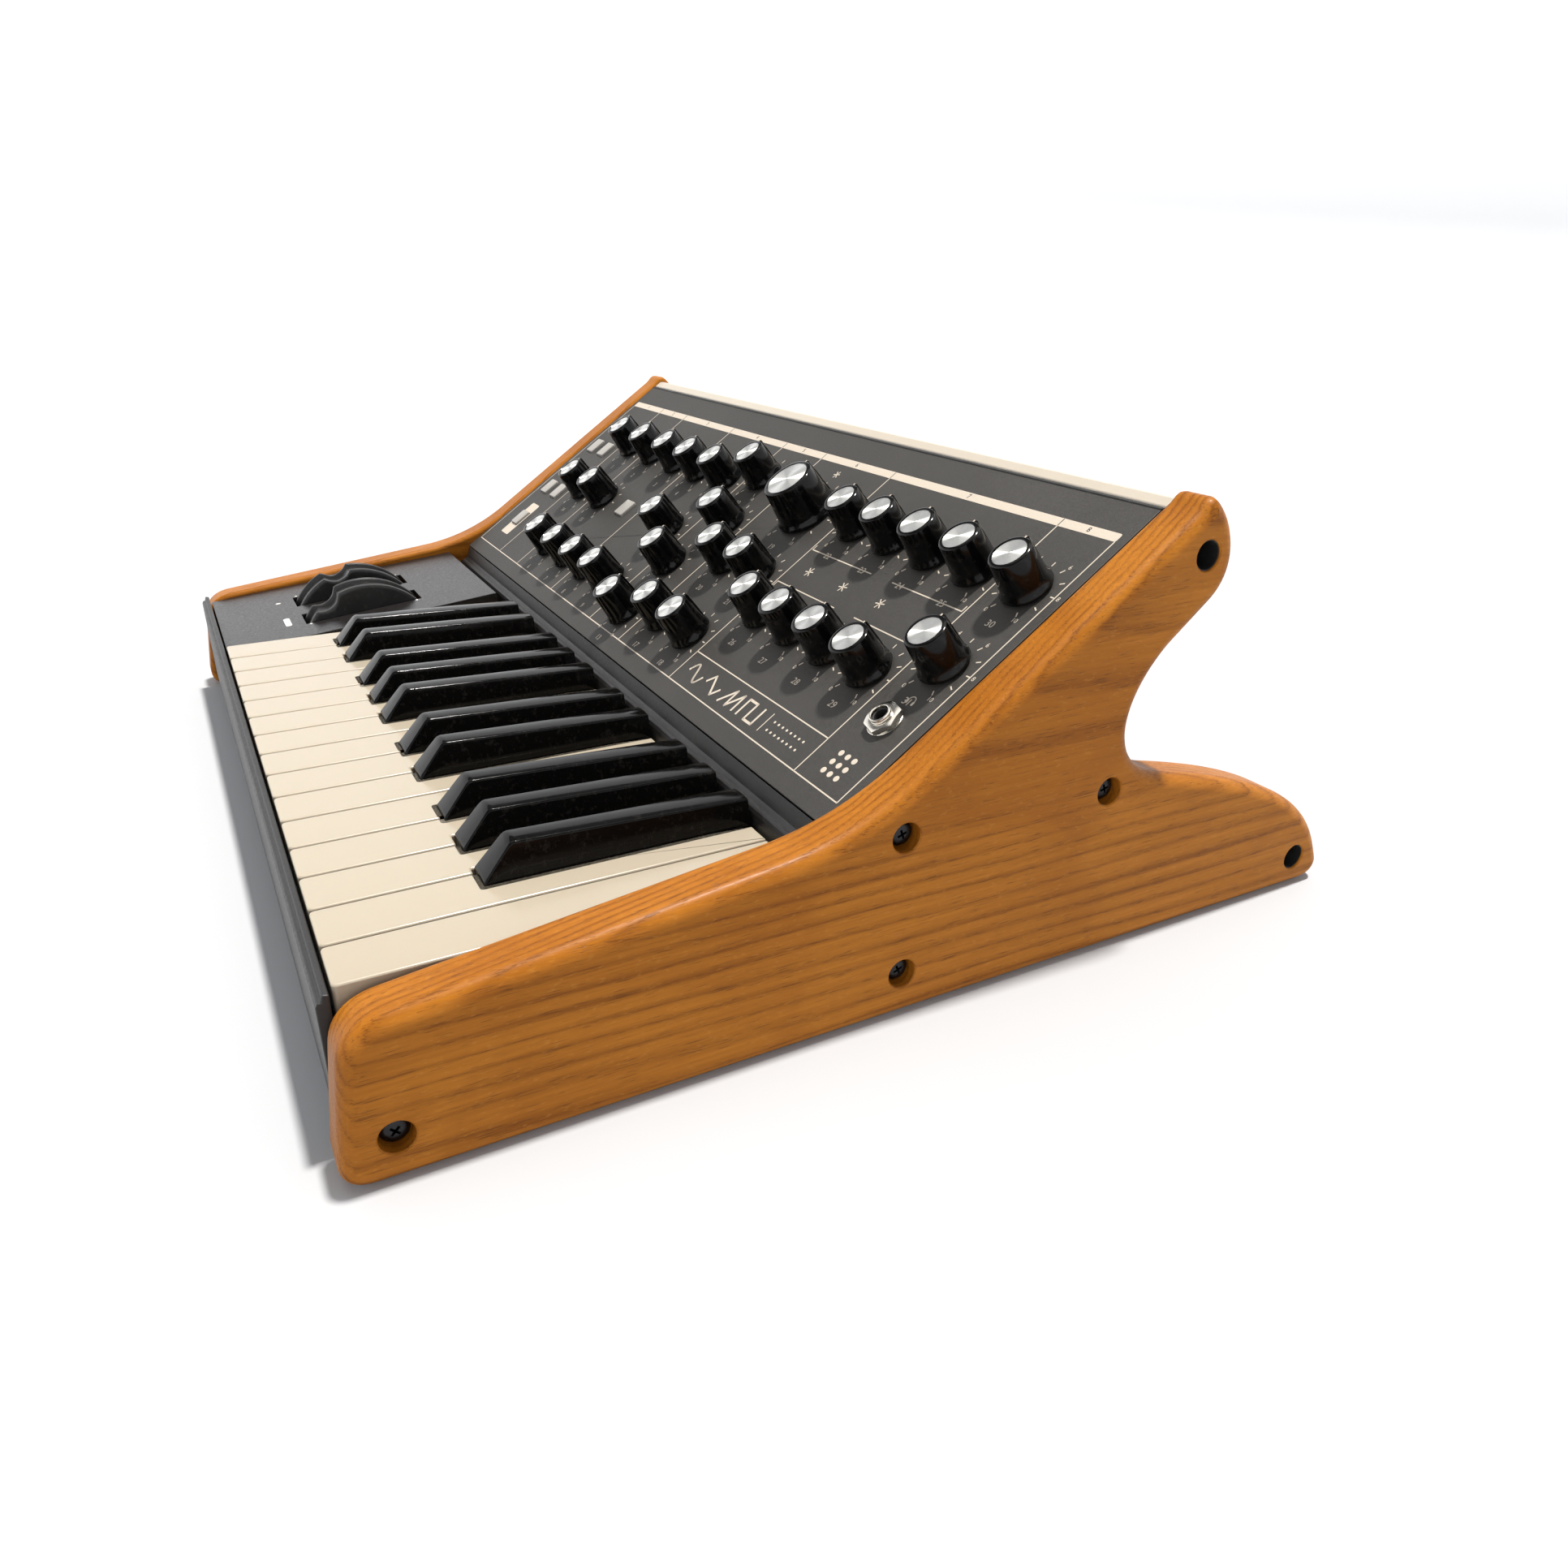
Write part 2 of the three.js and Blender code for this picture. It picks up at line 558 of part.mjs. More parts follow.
// Threaded bush with its hexagon nut on the panel
function headphoneJack() {
  const nut = rod('z', [0, 0, GAP], 2.4, 7, 6);
  const bush = rod('z', [0, 0, -7], 11, 4.5, 16);
  const bore = rod('z', [0, 0, -6], 12, 3.2, 16);
  const mesh = part('headphone_jack', cut(join(nut, bush), bore), CHROME);
  mesh.position.set(OUTPUT_X, JACK_ROW, 0);
  return mesh;
}

function mainBoard() {
  const plate = box([-60, 196, -46], [330, 258, -44.4]);
  const posts = [-50, 135, 320].flatMap((x) => [202, 252].map((y) => {
    return rod('z', [x, y, TRAY.bottom + SHEET + GAP], 5, 3, 8);
  }));
  const parts = [box([-40, 205, -45], [10, 245, -24]), box([60, 210, -45], [84, 234, -41])];
  return part('main_board', join(plate, ...posts, ...parts), GREEN_BOARD);
}

// ---- Assembly -----------------------------------------------------------

const slope = new THREE.Group();
slope.position.set(0, PANEL.lowerY, PANEL.lowerZ);
slope.rotation.x = radians(PANEL.tilt);
slope.add(controlPanel(), potBoard(), headphoneJack(), ...movingKnobs(), ...pushSwitches());

const deck = new THREE.Group();
deck.position.set(...DECK_ORIGIN);
deck.add(cheek('cheek_left', SPAN_LEFT, -1), cheek('cheek_right', SPAN_RIGHT, 1));
deck.add(chassisTray(), keySlip(), frontRail(), rearPanel(), rearTopStrip(), rearConnectors());
deck.add(keybed(), ...keyboard(), wheelPanel(), mainBoard());
deck.add(part('pitch_wheel', wheelSolid(PITCH_WHEEL_X, PITCH_NOTCH_ANGLE, 0), RUBBERY));
deck.add(part('mod_wheel', wheelSolid(MOD_WHEEL_X, MOD_NOTCH_ANGLE, -35), RUBBERY));
deck.add(slope);

const synthesizer = new THREE.Group();
synthesizer.add(deck);

export default synthesizer;
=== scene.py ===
import json
import math

import bmesh
import bpy
import numpy as np
from mathutils import Matrix, Vector


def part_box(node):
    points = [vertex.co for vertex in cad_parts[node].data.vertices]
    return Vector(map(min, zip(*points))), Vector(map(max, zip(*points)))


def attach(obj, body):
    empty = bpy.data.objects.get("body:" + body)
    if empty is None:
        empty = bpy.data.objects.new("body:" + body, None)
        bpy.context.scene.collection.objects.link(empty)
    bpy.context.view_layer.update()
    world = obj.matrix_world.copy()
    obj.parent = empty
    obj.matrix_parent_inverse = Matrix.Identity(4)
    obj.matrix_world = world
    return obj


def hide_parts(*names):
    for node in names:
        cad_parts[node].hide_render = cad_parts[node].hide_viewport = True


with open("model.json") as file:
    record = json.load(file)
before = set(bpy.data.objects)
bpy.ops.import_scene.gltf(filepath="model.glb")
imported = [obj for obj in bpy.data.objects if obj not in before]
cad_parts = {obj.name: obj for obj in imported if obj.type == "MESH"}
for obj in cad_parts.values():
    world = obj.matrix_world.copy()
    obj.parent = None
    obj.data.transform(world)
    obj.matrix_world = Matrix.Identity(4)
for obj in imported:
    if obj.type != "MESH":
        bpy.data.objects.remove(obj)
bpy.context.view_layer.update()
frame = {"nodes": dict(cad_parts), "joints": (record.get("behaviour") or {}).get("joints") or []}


def shift(x, y, z=0.0):
    return Matrix.Translation((x, y, z))


def spin(angle, axis):
    return Matrix.Rotation(angle, 4, axis)


# ---- Frames, in millimetres ----
# The deck frame starts at the left front corner of the lowest key's place, on the keys' top
# faces. The slope frame starts at the panel's lower edge: y runs up the slope, z out of it.

MM = 0.001
NODES = frame["nodes"]
JOINTS = {joint["child"]: joint for joint in frame["joints"]}
KEY_GAP = 1.0
PANEL_SHEET = 2.0

first_low, first_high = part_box("key_c1")
DECK_ORIGIN = Vector((first_low.x - KEY_GAP / 2 * MM, first_low.y, first_high.z))
DECK = Matrix.Translation(DECK_ORIGIN) @ Matrix.Scale(MM, 4)

panel_axis = JOINTS["cutoff_knob"]["axis"]
TILT = math.atan2(-panel_axis[1], panel_axis[2])
panel_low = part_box("control_panel")[0]
SLOPE_ORIGIN = Vector((DECK_ORIGIN.x, panel_low.y, panel_low.z + PANEL_SHEET * MM * math.cos(TILT)))
SLOPE = Matrix.Translation(SLOPE_ORIGIN) @ spin(TILT, "X") @ Matrix.Scale(MM, 4)


def deck_box(node):
    """Lowest and highest corner of a CAD node, in millimetres of the deck frame."""
    low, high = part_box(node)
    return (low - DECK_ORIGIN) / MM, (high - DECK_ORIGIN) / MM


# ---- Shapes: each is (vertices, faces) ----


def join_shapes(*shapes):
    vertices, faces = [], []
    for points, polygons in shapes:
        start = len(vertices)
        vertices += [tuple(p) for p in points]
        faces += [[start + i for i in polygon] for polygon in polygons]
    return vertices, faces


def placed(shape, matrix):
    return [tuple(matrix @ Vector(v)) for v in shape[0]], shape[1]


def moved(shape, x, y, z=0.0):
    return placed(shape, shift(x, y, z))


def loft(rings, closed=False):
    """Skin over rings of points; the first and last ring are filled unless it closes on itself."""
    count = len(rings[0])
    vertices = [tuple(p) for ring in rings for p in ring]
    faces = []
    levels = len(rings) if closed else len(rings) - 1
    for level in range(levels):
        upper = (level + 1) % len(rings)
        for i in range(count):
            j = (i + 1) % count
            faces.append([level * count + i, level * count + j, upper * count + j, upper * count + i])
    if not closed:
        faces.append(list(range(count))[::-1])
        faces.append([(len(rings) - 1) * count + i for i in range(count)])
    return vertices, faces


def lathe(profile, sides=48, closed=False):
    """Turns (radius, height) points about Z."""
    turn = [(math.cos(2 * math.pi * k / sides), math.sin(2 * math.pi * k / sides)) for k in range(sides)]
    return loft([[(r * c, r * s, h) for c, s in turn] for r, h in profile], closed)


def quarter(radius, steps):
    """(inset, height) points of a quarter round from the wall to the face."""
    if not radius:
        return [(0, 0)]
    angles = [math.pi / 2 * k / steps for k in range(steps + 1)]
    return [(radius * (1 - math.cos(a)), radius * math.sin(a)) for a in angles]


def inward_normals(outline):
    """Mitred inward normal at each point of a counter-clockwise outline."""
    points = np.array(outline, float)
    ahead = np.roll(points, -1, 0) - points
    ahead /= np.linalg.norm(ahead, axis=1)[:, None]
    back = np.roll(ahead, 1, 0)
    bisector = np.stack([-(ahead + back)[:, 1], (ahead + back)[:, 0]], 1)
    bisector /= np.linalg.norm(bisector, axis=1)[:, None]
    half_turn = np.clip((bisector * np.stack([-ahead[:, 1], ahead[:, 0]], 1)).sum(1), 0.3, 1)
    return points, bisector / half_turn[:, None]


def room_inside(points, normals, most):
    """How far each point can move inwards before it is nearer to another stretch of the outline."""
    starts, ends = points, np.roll(points, -1, 0)
    along = ends - starts
    lengths = (along ** 2).sum(1)
    room = np.full(len(points), most)
    for depth in np.arange(0.5, most + 0.01, 0.25)[::-1]:
        spots = points + normals * depth
        to_spot = spots[:, None, :] - starts[None]
        share = np.clip((to_spot * along[None]).sum(2) / lengths, 0, 1)
        nearest = np.linalg.norm(to_spot - share[..., None] * along[None], axis=2).min(1)
        room = np.where((room >= depth) & (nearest < depth * 0.97), depth - 0.25, room)
    return room


def plate(outline, low, high, round_low=0.0, round_high=0.0, steps=4, crowded=False):
    """A slab over a counter-clockwise outline, from low to high, with quarter-round edges."""
    points, normals = inward_normals(outline)
    most = max(round_low, round_high)
    room = room_inside(points, normals, most) if crowded else np.full(len(points), most)
    levels = [(inset, low + round_low - height) for inset, height in quarter(round_low, steps)[::-1]]
    levels += [(inset, high - round_high + height) for inset, height in quarter(round_high, steps)]
    rings = []
    for inset, height in levels:
        shifted = points + normals * np.minimum(inset, room)[:, None]
        rings.append([(x, y, height) for x, y in shifted])
    return loft(rings)


def filleted(corners, radii, steps=4):
    """The polygon's corners replaced by arcs; radii is one number or one for each corner."""
    if not hasattr(radii, "__len__"):
        radii = [radii] * len(corners)
    points = []
    for i, radius in enumerate(radii):
        corner = Vector(corners[i])
        if not radius:
            points.append(tuple(corner))
            continue
        back = (Vector(corners[i - 1]) - corner).normalized()
        ahead = (Vector(corners[(i + 1) % len(corners)]) - corner).normalized()
        half = back.angle(ahead) / 2
        reach = radius / math.tan(half)
        start, end = corner + back * reach, corner + ahead * reach
        for k in range(steps + 1):
            t = k / steps
            points.append(tuple(start * (1 - t) ** 2 + corner * 2 * t * (1 - t) + end * t ** 2))
    return points


def rectangle(x0, y0, x1, y1, radius=0.0, steps=4):
    return filleted([(x0, y0), (x1, y0), (x1, y1), (x0, y1)], radius, steps)


def block(low, high, corner=0.4, edge=0.3, steps=2):
    outline = rectangle(low[0], low[1], high[0], high[1], corner, steps)
    return plate(outline, low[2], high[2], edge, edge, steps)


def along_x(shape):
    """Turns a shape drawn with (Y, Z) in its plane and X as its height."""
    return [(z, x, y) for x, y, z in shape[0]], shape[1]


def rod(base, direction, radius, length, sides=32):
    turn = Vector((0, 0, 1)).rotation_difference(Vector(direction)).to_matrix().to_4x4()
    return placed(lathe([(radius, 0), (radius, length)], sides), Matrix.Translation(base) @ turn)


# ---- Objects ----

# Edges over this angle, in degrees, stay sharp
SHARP = 35
BEVEL_ANGLE = 40
MERGE_REACH, WELD_REACH = 2e-7, 1e-5


def linked(name, data):
    """A new object in the scene."""
    made = bpy.data.objects.new(name, data)
    bpy.context.scene.collection.objects.link(made)
    return made


def finish_mesh(mesh, sharp):
    """Merges doubled points, faces the surface outwards and keeps edges over an angle sharp."""
    work = bmesh.new()
    work.from_mesh(mesh)
    bmesh.ops.remove_doubles(work, verts=work.verts, dist=MERGE_REACH)
    bmesh.ops.recalc_face_normals(work, faces=work.faces)
    work.to_mesh(mesh)
    work.free()
    for polygon in mesh.polygons:
        polygon.use_smooth = True
    mesh.set_sharp_from_angle(angle=math.radians(sharp))


def make_mesh(name, layers, at, sharp=SHARP):
    """A mesh from [(shape, material), ...]."""
    shape = join_shapes(*[layer[0] for layer in layers])
    mesh = bpy.data.meshes.new(name)
    mesh.from_pydata([at @ Vector(v) for v in shape[0]], [], shape[1])
    index = 0
    for number, (layer, material) in enumerate(layers):
        mesh.materials.append(material)
        for _ in layer[1]:
            mesh.polygons[index].material_index = number
            index += 1
    finish_mesh(mesh, sharp)
    return mesh


def add_object(name, mesh, body="chassis", slot=None, replaces=(), world=None):
    made = linked(name, mesh)
    if world is not None:
        made.matrix_world = world
    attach(made, body)
    if replaces:
        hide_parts(*replaces)
    return made


def piece(name, layers, at=DECK, sharp=SHARP, **settings):
    return add_object(name, make_mesh(name, layers, at, sharp), **settings)


def cut_with(target, shape, at=DECK):
    """Cuts a shape out of an object and keeps the result as its mesh."""
    tool = linked("cutter", make_mesh("cutter", [(shape, None)], at))
    modifier = target.modifiers.new("cut", "BOOLEAN")
    modifier.object = tool
    modifier.solver = "EXACT"
    bpy.context.view_layer.update()
    evaluated = target.evaluated_get(bpy.context.evaluated_depsgraph_get())
    result = bpy.data.meshes.new_from_object(evaluated)
    target.modifiers.clear()
    target.data = result
    bpy.data.objects.remove(tool)
    finish_mesh(target.data, SHARP)


def even_normals(made):
    """Large flat faces keep their own normals up to the rounded edges."""
    smooth = made.modifiers.new("normals", "WEIGHTED_NORMAL")
    smooth.keep_sharp = True


def soften_node(node, material, width=0.4, segments=2):
    """Keeps a CAD node, and gives it a finish and small rounded edges."""
    kept = NODES[node]
    kept.data.materials.clear()
    kept.data.materials.append(material)
    weld = kept.modifiers.new("weld", "WELD")
    weld.merge_threshold = WELD_REACH
    bevel = kept.modifiers.new("edges", "BEVEL")
    bevel.width = width * MM
    bevel.segments = segments
    bevel.limit_method = "ANGLE"
    bevel.angle_limit = math.radians(BEVEL_ANGLE)
    bevel.harden_normals = False
    even_normals(kept)


# ---- Materials ----


DUST = (0.42, 0.38, 0.34)


class Finish:
    """A Principled material whose node graph works in millimetres of the row frame."""

    def __init__(self, name, color, roughness, metallic=0.0, **sockets):
        self.material = bpy.data.materials.new(name)
        self.material.use_nodes = True
        self.tree = self.material.node_tree
        self.shader = self.tree.nodes["Principled BSDF"]
        self.color = color
        self.set("Base Color", color)
        self.set("Roughness", roughness)
        self.set("Metallic", metallic)
        for label, value in sockets.items():
            self.set(label.replace("_", " "), value)

    def plug(self, value, socket):
        """Links an output to a socket, or writes a constant on it."""
        if isinstance(value, bpy.types.NodeSocket):
            self.tree.links.new(value, socket)
        elif socket.type == "RGBA":
            socket.default_value = (*value[:3], 1)
        else:
            socket.default_value = value

    def set(self, label, value):
        self.plug(value, self.shader.inputs[label])

    def node(self, kind, inputs=(), output=0, **settings):
        made = self.tree.nodes.new(kind)
        for label, value in settings.items():
            setattr(made, label, value)
        for label, value in dict(inputs).items():
            self.plug(value, made.inputs[label])
        return made.outputs[output]

    def place(self, stretch=(1, 1, 1)):
        coordinates = self.node("ShaderNodeTexCoord", output="Object")
        scale = [s / MM for s in stretch]
        return self.node("ShaderNodeMapping", {"Vector": coordinates, "Scale": scale})

    def noise(self, scale, detail=2.0, roughness=0.5, stretch=(1, 1, 1), distortion=0.0):
        inputs = {"Vector": self.place(stretch), "Scale": scale, "Detail": detail}
        inputs.update({"Roughness": roughness, "Distortion": distortion})
        return self.node("ShaderNodeTexNoise", inputs)

    def math(self, operation, a, b=0.0, c=0.0):
        return self.node("ShaderNodeMath", {0: a, 1: b, 2: c}, operation=operation)

    def spread(self, value, low, high, to_low, to_high):
        labels = ("Value", "From Min", "From Max", "To Min", "To Max")
        return self.node("ShaderNodeMapRange", dict(zip(labels, (value, low, high, to_low, to_high))))

    def mix(self, share, first, second):
        made = self.tree.nodes.new("ShaderNodeMix")
        made.data_type = "RGBA"
        for index, value in ((0, share), (6, first), (7, second)):
            self.plug(value, made.inputs[index])
        return made.outputs[2]

    def bump(self, height, depth, strength=1.0):
        """Depth in millimetres for a height that runs from 0 to 1."""
        inputs = {"Height": height, "Distance": depth * MM, "Strength": strength}
        return self.node("ShaderNodeBump", inputs)

    def handled(self, smudge=0.08, dust=0.03):
        """Soft smudges in the gloss and a trace of uneven colour, as on a used surface."""
        value = self.noise(0.06, 4, 0.6)
        base = self.shader.inputs["Roughness"].default_value
        self.set("Roughness", self.spread(value, 0.35, 0.7, base, base + smudge))
        dusty = self.noise(0.35, 3, 0.7)
        share = self.spread(dusty, 0.55, 0.8, 0.0, dust)
        self.set("Base Color", self.mix(share, self.color, DUST))


def shade(*levels):
    """Linear colour from the eye's 0 to 255 scale."""
    return tuple(((v / 255 + 0.055) / 1.055) ** 2.4 if v > 10 else v / 255 / 12.92 for v in levels)


# One growth ring's size across the board, and up it below and above the height where it turns
BAND_WIDTH, LOW_BAND, HIGH_BAND, BAND_TURN = 3.0, 7.0, 24.0, 72.8
OAK = {
    "mean": shade(156, 96, 34), "early": shade(171, 107, 32), "late": shade(113, 62, 13),
    "fibre": shade(122, 71, 15), "blotch": shade(119, 63, 8), "fleck": shade(187, 129, 58),
    "pore": shade(69, 35, 7),
}
# Darkness of the wood through one growth ring
RING_LEVELS = ((0.0, 0.6), (0.1, 1.0), (0.3, 0.45), (0.55, 0.06), (0.85, 0.1), (1.0, 0.5))


def oak(name, seed):
    """Flat-sawn oak with its grain along Y, oiled and lacquered."""
    sheen = {"Coat_Weight": 0.03, "Coat_Roughness": 0.22, "Specular_IOR_Level": 0.1}
    wood = Finish(name, OAK["mean"], 0.45, **sheen)
    position = wood.node("ShaderNodeSeparateXYZ", {0: wood.place()}).node
    x, z = position.outputs[0], position.outputs[2]
    wander = wood.noise(0.02, 2, 0.45, stretch=(1, 0.1, 0.6))
    waver = wood.noise(0.16, 2, 0.5, stretch=(1, 0.035, 1))
    low = wood.math("DIVIDE", wood.math("MINIMUM", z, BAND_TURN), LOW_BAND)
    high = wood.math("DIVIDE", wood.math("MAXIMUM", z, BAND_TURN), HIGH_BAND)
    band = wood.math("ADD", wood.math("DIVIDE", x, BAND_WIDTH), wood.math("ADD", low, high))
    band = wood.math("ADD", band, wood.math("MULTIPLY", wander, 5.5))
    band = wood.math("ADD", band, wood.math("MULTIPLY_ADD", waver, 0.9, seed))
    band = wood.math("FRACT", band)
    late = wood.node("ShaderNodeValToRGB", {0: band})
    ramp = late.node.color_ramp
    for place, level in RING_LEVELS:
        stop = ramp.elements[-int(place)] if place in (0, 1) else ramp.elements.new(place)
        stop.color = (level, level, level, 1)
    boldness = wood.spread(wood.noise(0.09, 2, 0.5, stretch=(1, 0.06, 1)), 0.35, 0.65, 0.25, 0.85)
    fibre = wood.noise(1.1, 4, 0.7, stretch=(1, 0.018, 1))
    blotch = wood.noise(0.02, 3, 0.55, stretch=(1, 0.55, 1), distortion=0.8)
    pore = wood.noise(2.0, 2, 0.6, stretch=(1, 0.045, 1))
    pore = wood.spread(wood.math("MULTIPLY_ADD", late, 0.09, pore), 0.62, 0.7, 0.0, 1.0)
    fleck = wood.spread(wood.noise(1.1, 2, 0.5, stretch=(1, 0.3, 1)), 0.6, 0.72, 0.0, 1.0)
    color = wood.mix(wood.math("MULTIPLY", late, boldness), OAK["early"], OAK["late"])
    color = wood.mix(wood.spread(fibre, 0.32, 0.7, 0.0, 0.45), color, OAK["fibre"])
    color = wood.mix(wood.spread(blotch, 0.42, 0.68, 0.0, 0.45), color, OAK["blotch"])
    color = wood.mix(wood.math("MULTIPLY", fleck, 0.2), color, OAK["fleck"])
    color = wood.mix(wood.math("MULTIPLY", pore, 0.42), color, OAK["pore"])
    wood.set("Base Color", color)
    wood.set("Roughness", wood.spread(fibre, 0.3, 0.7, 0.36, 0.5))
    relief = wood.math("SUBTRACT", wood.math("MULTIPLY", fibre, 0.35), pore)
    wood.set("Normal", wood.bump(relief, 0.06, 0.7))
    return wood.material


def powder_coat(name, color, grain=1.1, depth=0.03, roughness=0.58, fleck=0.6):
    """Fine textured paint on steel, with lighter flecks."""
    paint = Finish(name, color, roughness)
    grains = paint.noise(grain, 3, 0.6)
    lighter = tuple(min(1.0, c * 1.9 + 0.01) for c in color)
    darker = tuple(c * 0.72 for c in color)
    base = paint.mix(paint.spread(grains, 0.35, 0.65, 0.0, 1.0), darker, tuple(c * 1.15 for c in color))
    specks = paint.noise(grain * 2.1, 1, 0.5)
    base = paint.mix(paint.spread(specks, 0.62, 0.76, 0.0, fleck), base, lighter)
    cloud = paint.noise(0.02, 3, 0.5)
    base = paint.mix(paint.spread(cloud, 0.4, 0.7, 0.0, 0.14), base, lighter)
    paint.set("Base Color", base)
    paint.set("Roughness", paint.spread(grains, 0.3, 0.7, roughness - 0.07, roughness + 0.1))
    paint.set("Normal", paint.bump(grains, depth, 0.8))
    return paint.material


def gloss_plastic(name, color, roughness=0.1, **sockets):
    """Polished moulded plastic with faint ripples and smudges."""
    plastic = Finish(name, color, roughness, **sockets)
    plastic.handled(0.09, 0.03)
    plastic.set("Normal", plastic.bump(plastic.noise(0.12, 2, 0.5), 0.05, 0.3))
    return plastic.material


def matte_plastic(name, color, roughness=0.5):
    plastic = Finish(name, color, roughness)
    plastic.handled(0.12, 0.06)
    plastic.set("Normal", plastic.bump(plastic.noise(2.2, 2, 0.6), 0.02, 0.6))
    return plastic.material


def metal(name, color, roughness, scratches=0.02, stretch=(1, 1, 1)):
    steel = Finish(name, color, roughness, 1.0)
    worn = steel.noise(0.4, 4, 0.65, stretch)
    steel.set("Roughness", steel.spread(worn, 0.3, 0.75, roughness * 0.7, roughness * 1.6))
    tarnish = steel.spread(steel.noise(0.16, 3, 0.6), 0.45, 0.75, 0.0, 0.3)
    steel.set("Base Color", steel.mix(tarnish, color, tuple(c * 0.66 for c in color)))
    steel.set("Normal", steel.bump(steel.noise(3.0, 2, 0.6, stretch), scratches, 0.4))
    return steel.material


def spun_aluminium(name):
    """Turned metal: its highlights fan out from the centre."""
    bright, dull = (0.86, 0.85, 0.82), (0.6, 0.59, 0.56)
    disc = Finish(name, bright, 0.43, 1.0, Anisotropic=0.97, Anisotropic_Rotation=0.25)
    disc.set("Tangent", disc.node("ShaderNodeTangent", direction_type="RADIAL", axis="Z"))
    place = disc.node("ShaderNodeTexCoord", output="Object")
    grooves = disc.node(
        "ShaderNodeTexWave", {"Vector": place, "Scale": 900.0, "Distortion": 0.0},
        output=1, wave_type="RINGS", rings_direction="Z",
    )
    disc.set("Roughness", disc.spread(grooves, 0.0, 1.0, 0.4, 0.46))
    worn = disc.spread(disc.noise(0.9, 3, 0.6), 0.4, 0.7, 0.0, 0.2)
    disc.set("Base Color", disc.mix(worn, bright, dull))
    return disc.material


def print_ink(name, color):
    ink = Finish(name, color, 0.55)
    worn = ink.noise(1.6, 3, 0.7)
    thin = tuple(c * 0.7 for c in color)
    ink.set("Base Color", ink.mix(ink.spread(worn, 0.52, 0.8, 0.0, 0.25), color, thin))
    ink.set("Normal", ink.bump(worn, 0.01, 0.5))
    return ink.material


# Paint for the rear top strip; its pale cream is a painted highlight of light on the chassis's rear top
# edge
def enamel(name, color):
    paint = Finish(name, color, 0.34, Coat_Weight=0.1)
    paint.handled(0.1, 0.05)
    paint.set("Normal", paint.bump(paint.noise(0.5, 3, 0.5), 0.02, 0.4))
    return paint.material


def solder_mask(name):
    """Green lacquer over a net of copper tracks."""
    plain, raised = (0.012, 0.07, 0.03), (0.03, 0.14, 0.055)
    board = Finish(name, plain, 0.35)
    inputs = {"Vector": board.place(), "Scale": 0.16}
    tracks = board.node("ShaderNodeTexVoronoi", inputs, feature="DISTANCE_TO_EDGE")
    line = board.spread(tracks, 0.02, 0.05, 1.0, 0.0)
    board.set("Base Color", board.mix(line, plain, raised))
    board.set("Normal", board.bump(line, 0.03, 0.5))
    return board.material


OAK_LEFT = oak("oak_left", 3.1)
OAK_RIGHT = oak("oak_right", 0.0)
PANEL_PAINT = powder_coat("panel_powder_coat", (0.027, 0.0245, 0.0215))
DECK_PAINT = powder_coat("deck_satin_paint", (0.0085, 0.0068, 0.0066), 0.8, 0.010, 0.32, 0.1)
CHASSIS_PAINT = powder_coat("chassis_satin_paint", (0.011, 0.0102, 0.0102), 0.8, 0.015, 0.45, 0.12)
# Pale cream of the rear top strip: painted highlight of light on the rear top edge
REAR_HIGHLIGHT_CREAM = enamel("rear_highlight_cream", (0.44, 0.39, 0.32))
GLOW = {"Subsurface_Weight": 0.12, "Subsurface_Scale": 0.002}
IVORY = gloss_plastic("ivory_plastic", (0.372, 0.322, 0.248), 0.16, **GLOW)
EBONY = gloss_plastic("ebony_plastic", (0.0026, 0.0025, 0.0024), 0.06, Specular_IOR_Level=0.12)
KNOB_BLACK = gloss_plastic("knob_plastic", (0.002, 0.002, 0.002), 0.09, Specular_IOR_Level=0.2)
WHEEL_BLACK = matte_plastic("wheel_plastic", (0.0075, 0.0072, 0.0070), 0.36)
SWITCH_WHITE = matte_plastic("switch_plastic", (0.30, 0.285, 0.262), 0.36)
CONNECTOR_BLACK = matte_plastic("connector_plastic", (0.012, 0.012, 0.012), 0.45)
NICKEL = metal("polished_nickel", (0.72, 0.68, 0.61), 0.16)
SCREW_BLACK = metal("blackened_steel", (0.035, 0.034, 0.036), 0.34)
SPUN = spun_aluminium("spun_aluminium")
KEYBED_STEEL = metal("zinc_steel", (0.42, 0.42, 0.40), 0.38)
BOARD_GREEN = solder_mask("circuit_board")
INK = print_ink("cream_print", (0.48, 0.42, 0.345))
DARK_INK = print_ink("dark_print", (0.028, 0.025, 0.022))
LAMP = matte_plastic("lamp_lens", (0.52, 0.50, 0.48), 0.25)
# Near-black: painted shade in the spare bores and the gap below the rear top strip, and the real dark
# lining of the sockets
SHADE_AND_LINING_DARK = matte_plastic("shade_and_lining_dark", (0.006, 0.006, 0.006), 0.6)

# ---- Wooden cheeks ----

CHEEK_OUTER_ROUND = 5.6
CHEEK_INNER_ROUND = 2.6
CHEEK_STEP = 2.2
BORE_RADIUS = 5.5
BORE_EDGE = 0.5
SCREW_BORE_DEPTH = 6.0
SPARE_BORE_DEPTH = 12.0
SHANK_HOLE_RADIUS = 2.6
SCREW_LIFT = 0.2
SCREW_PLACES = [(8.7, -41.7), (181.2, -40.3), (180, 13.4), (268.8, 11.2)]
SPARE_PLACES = [(300.5, 94.6), (381.7, -43.9)]
GROUND = -DECK_ORIGIN.z / MM

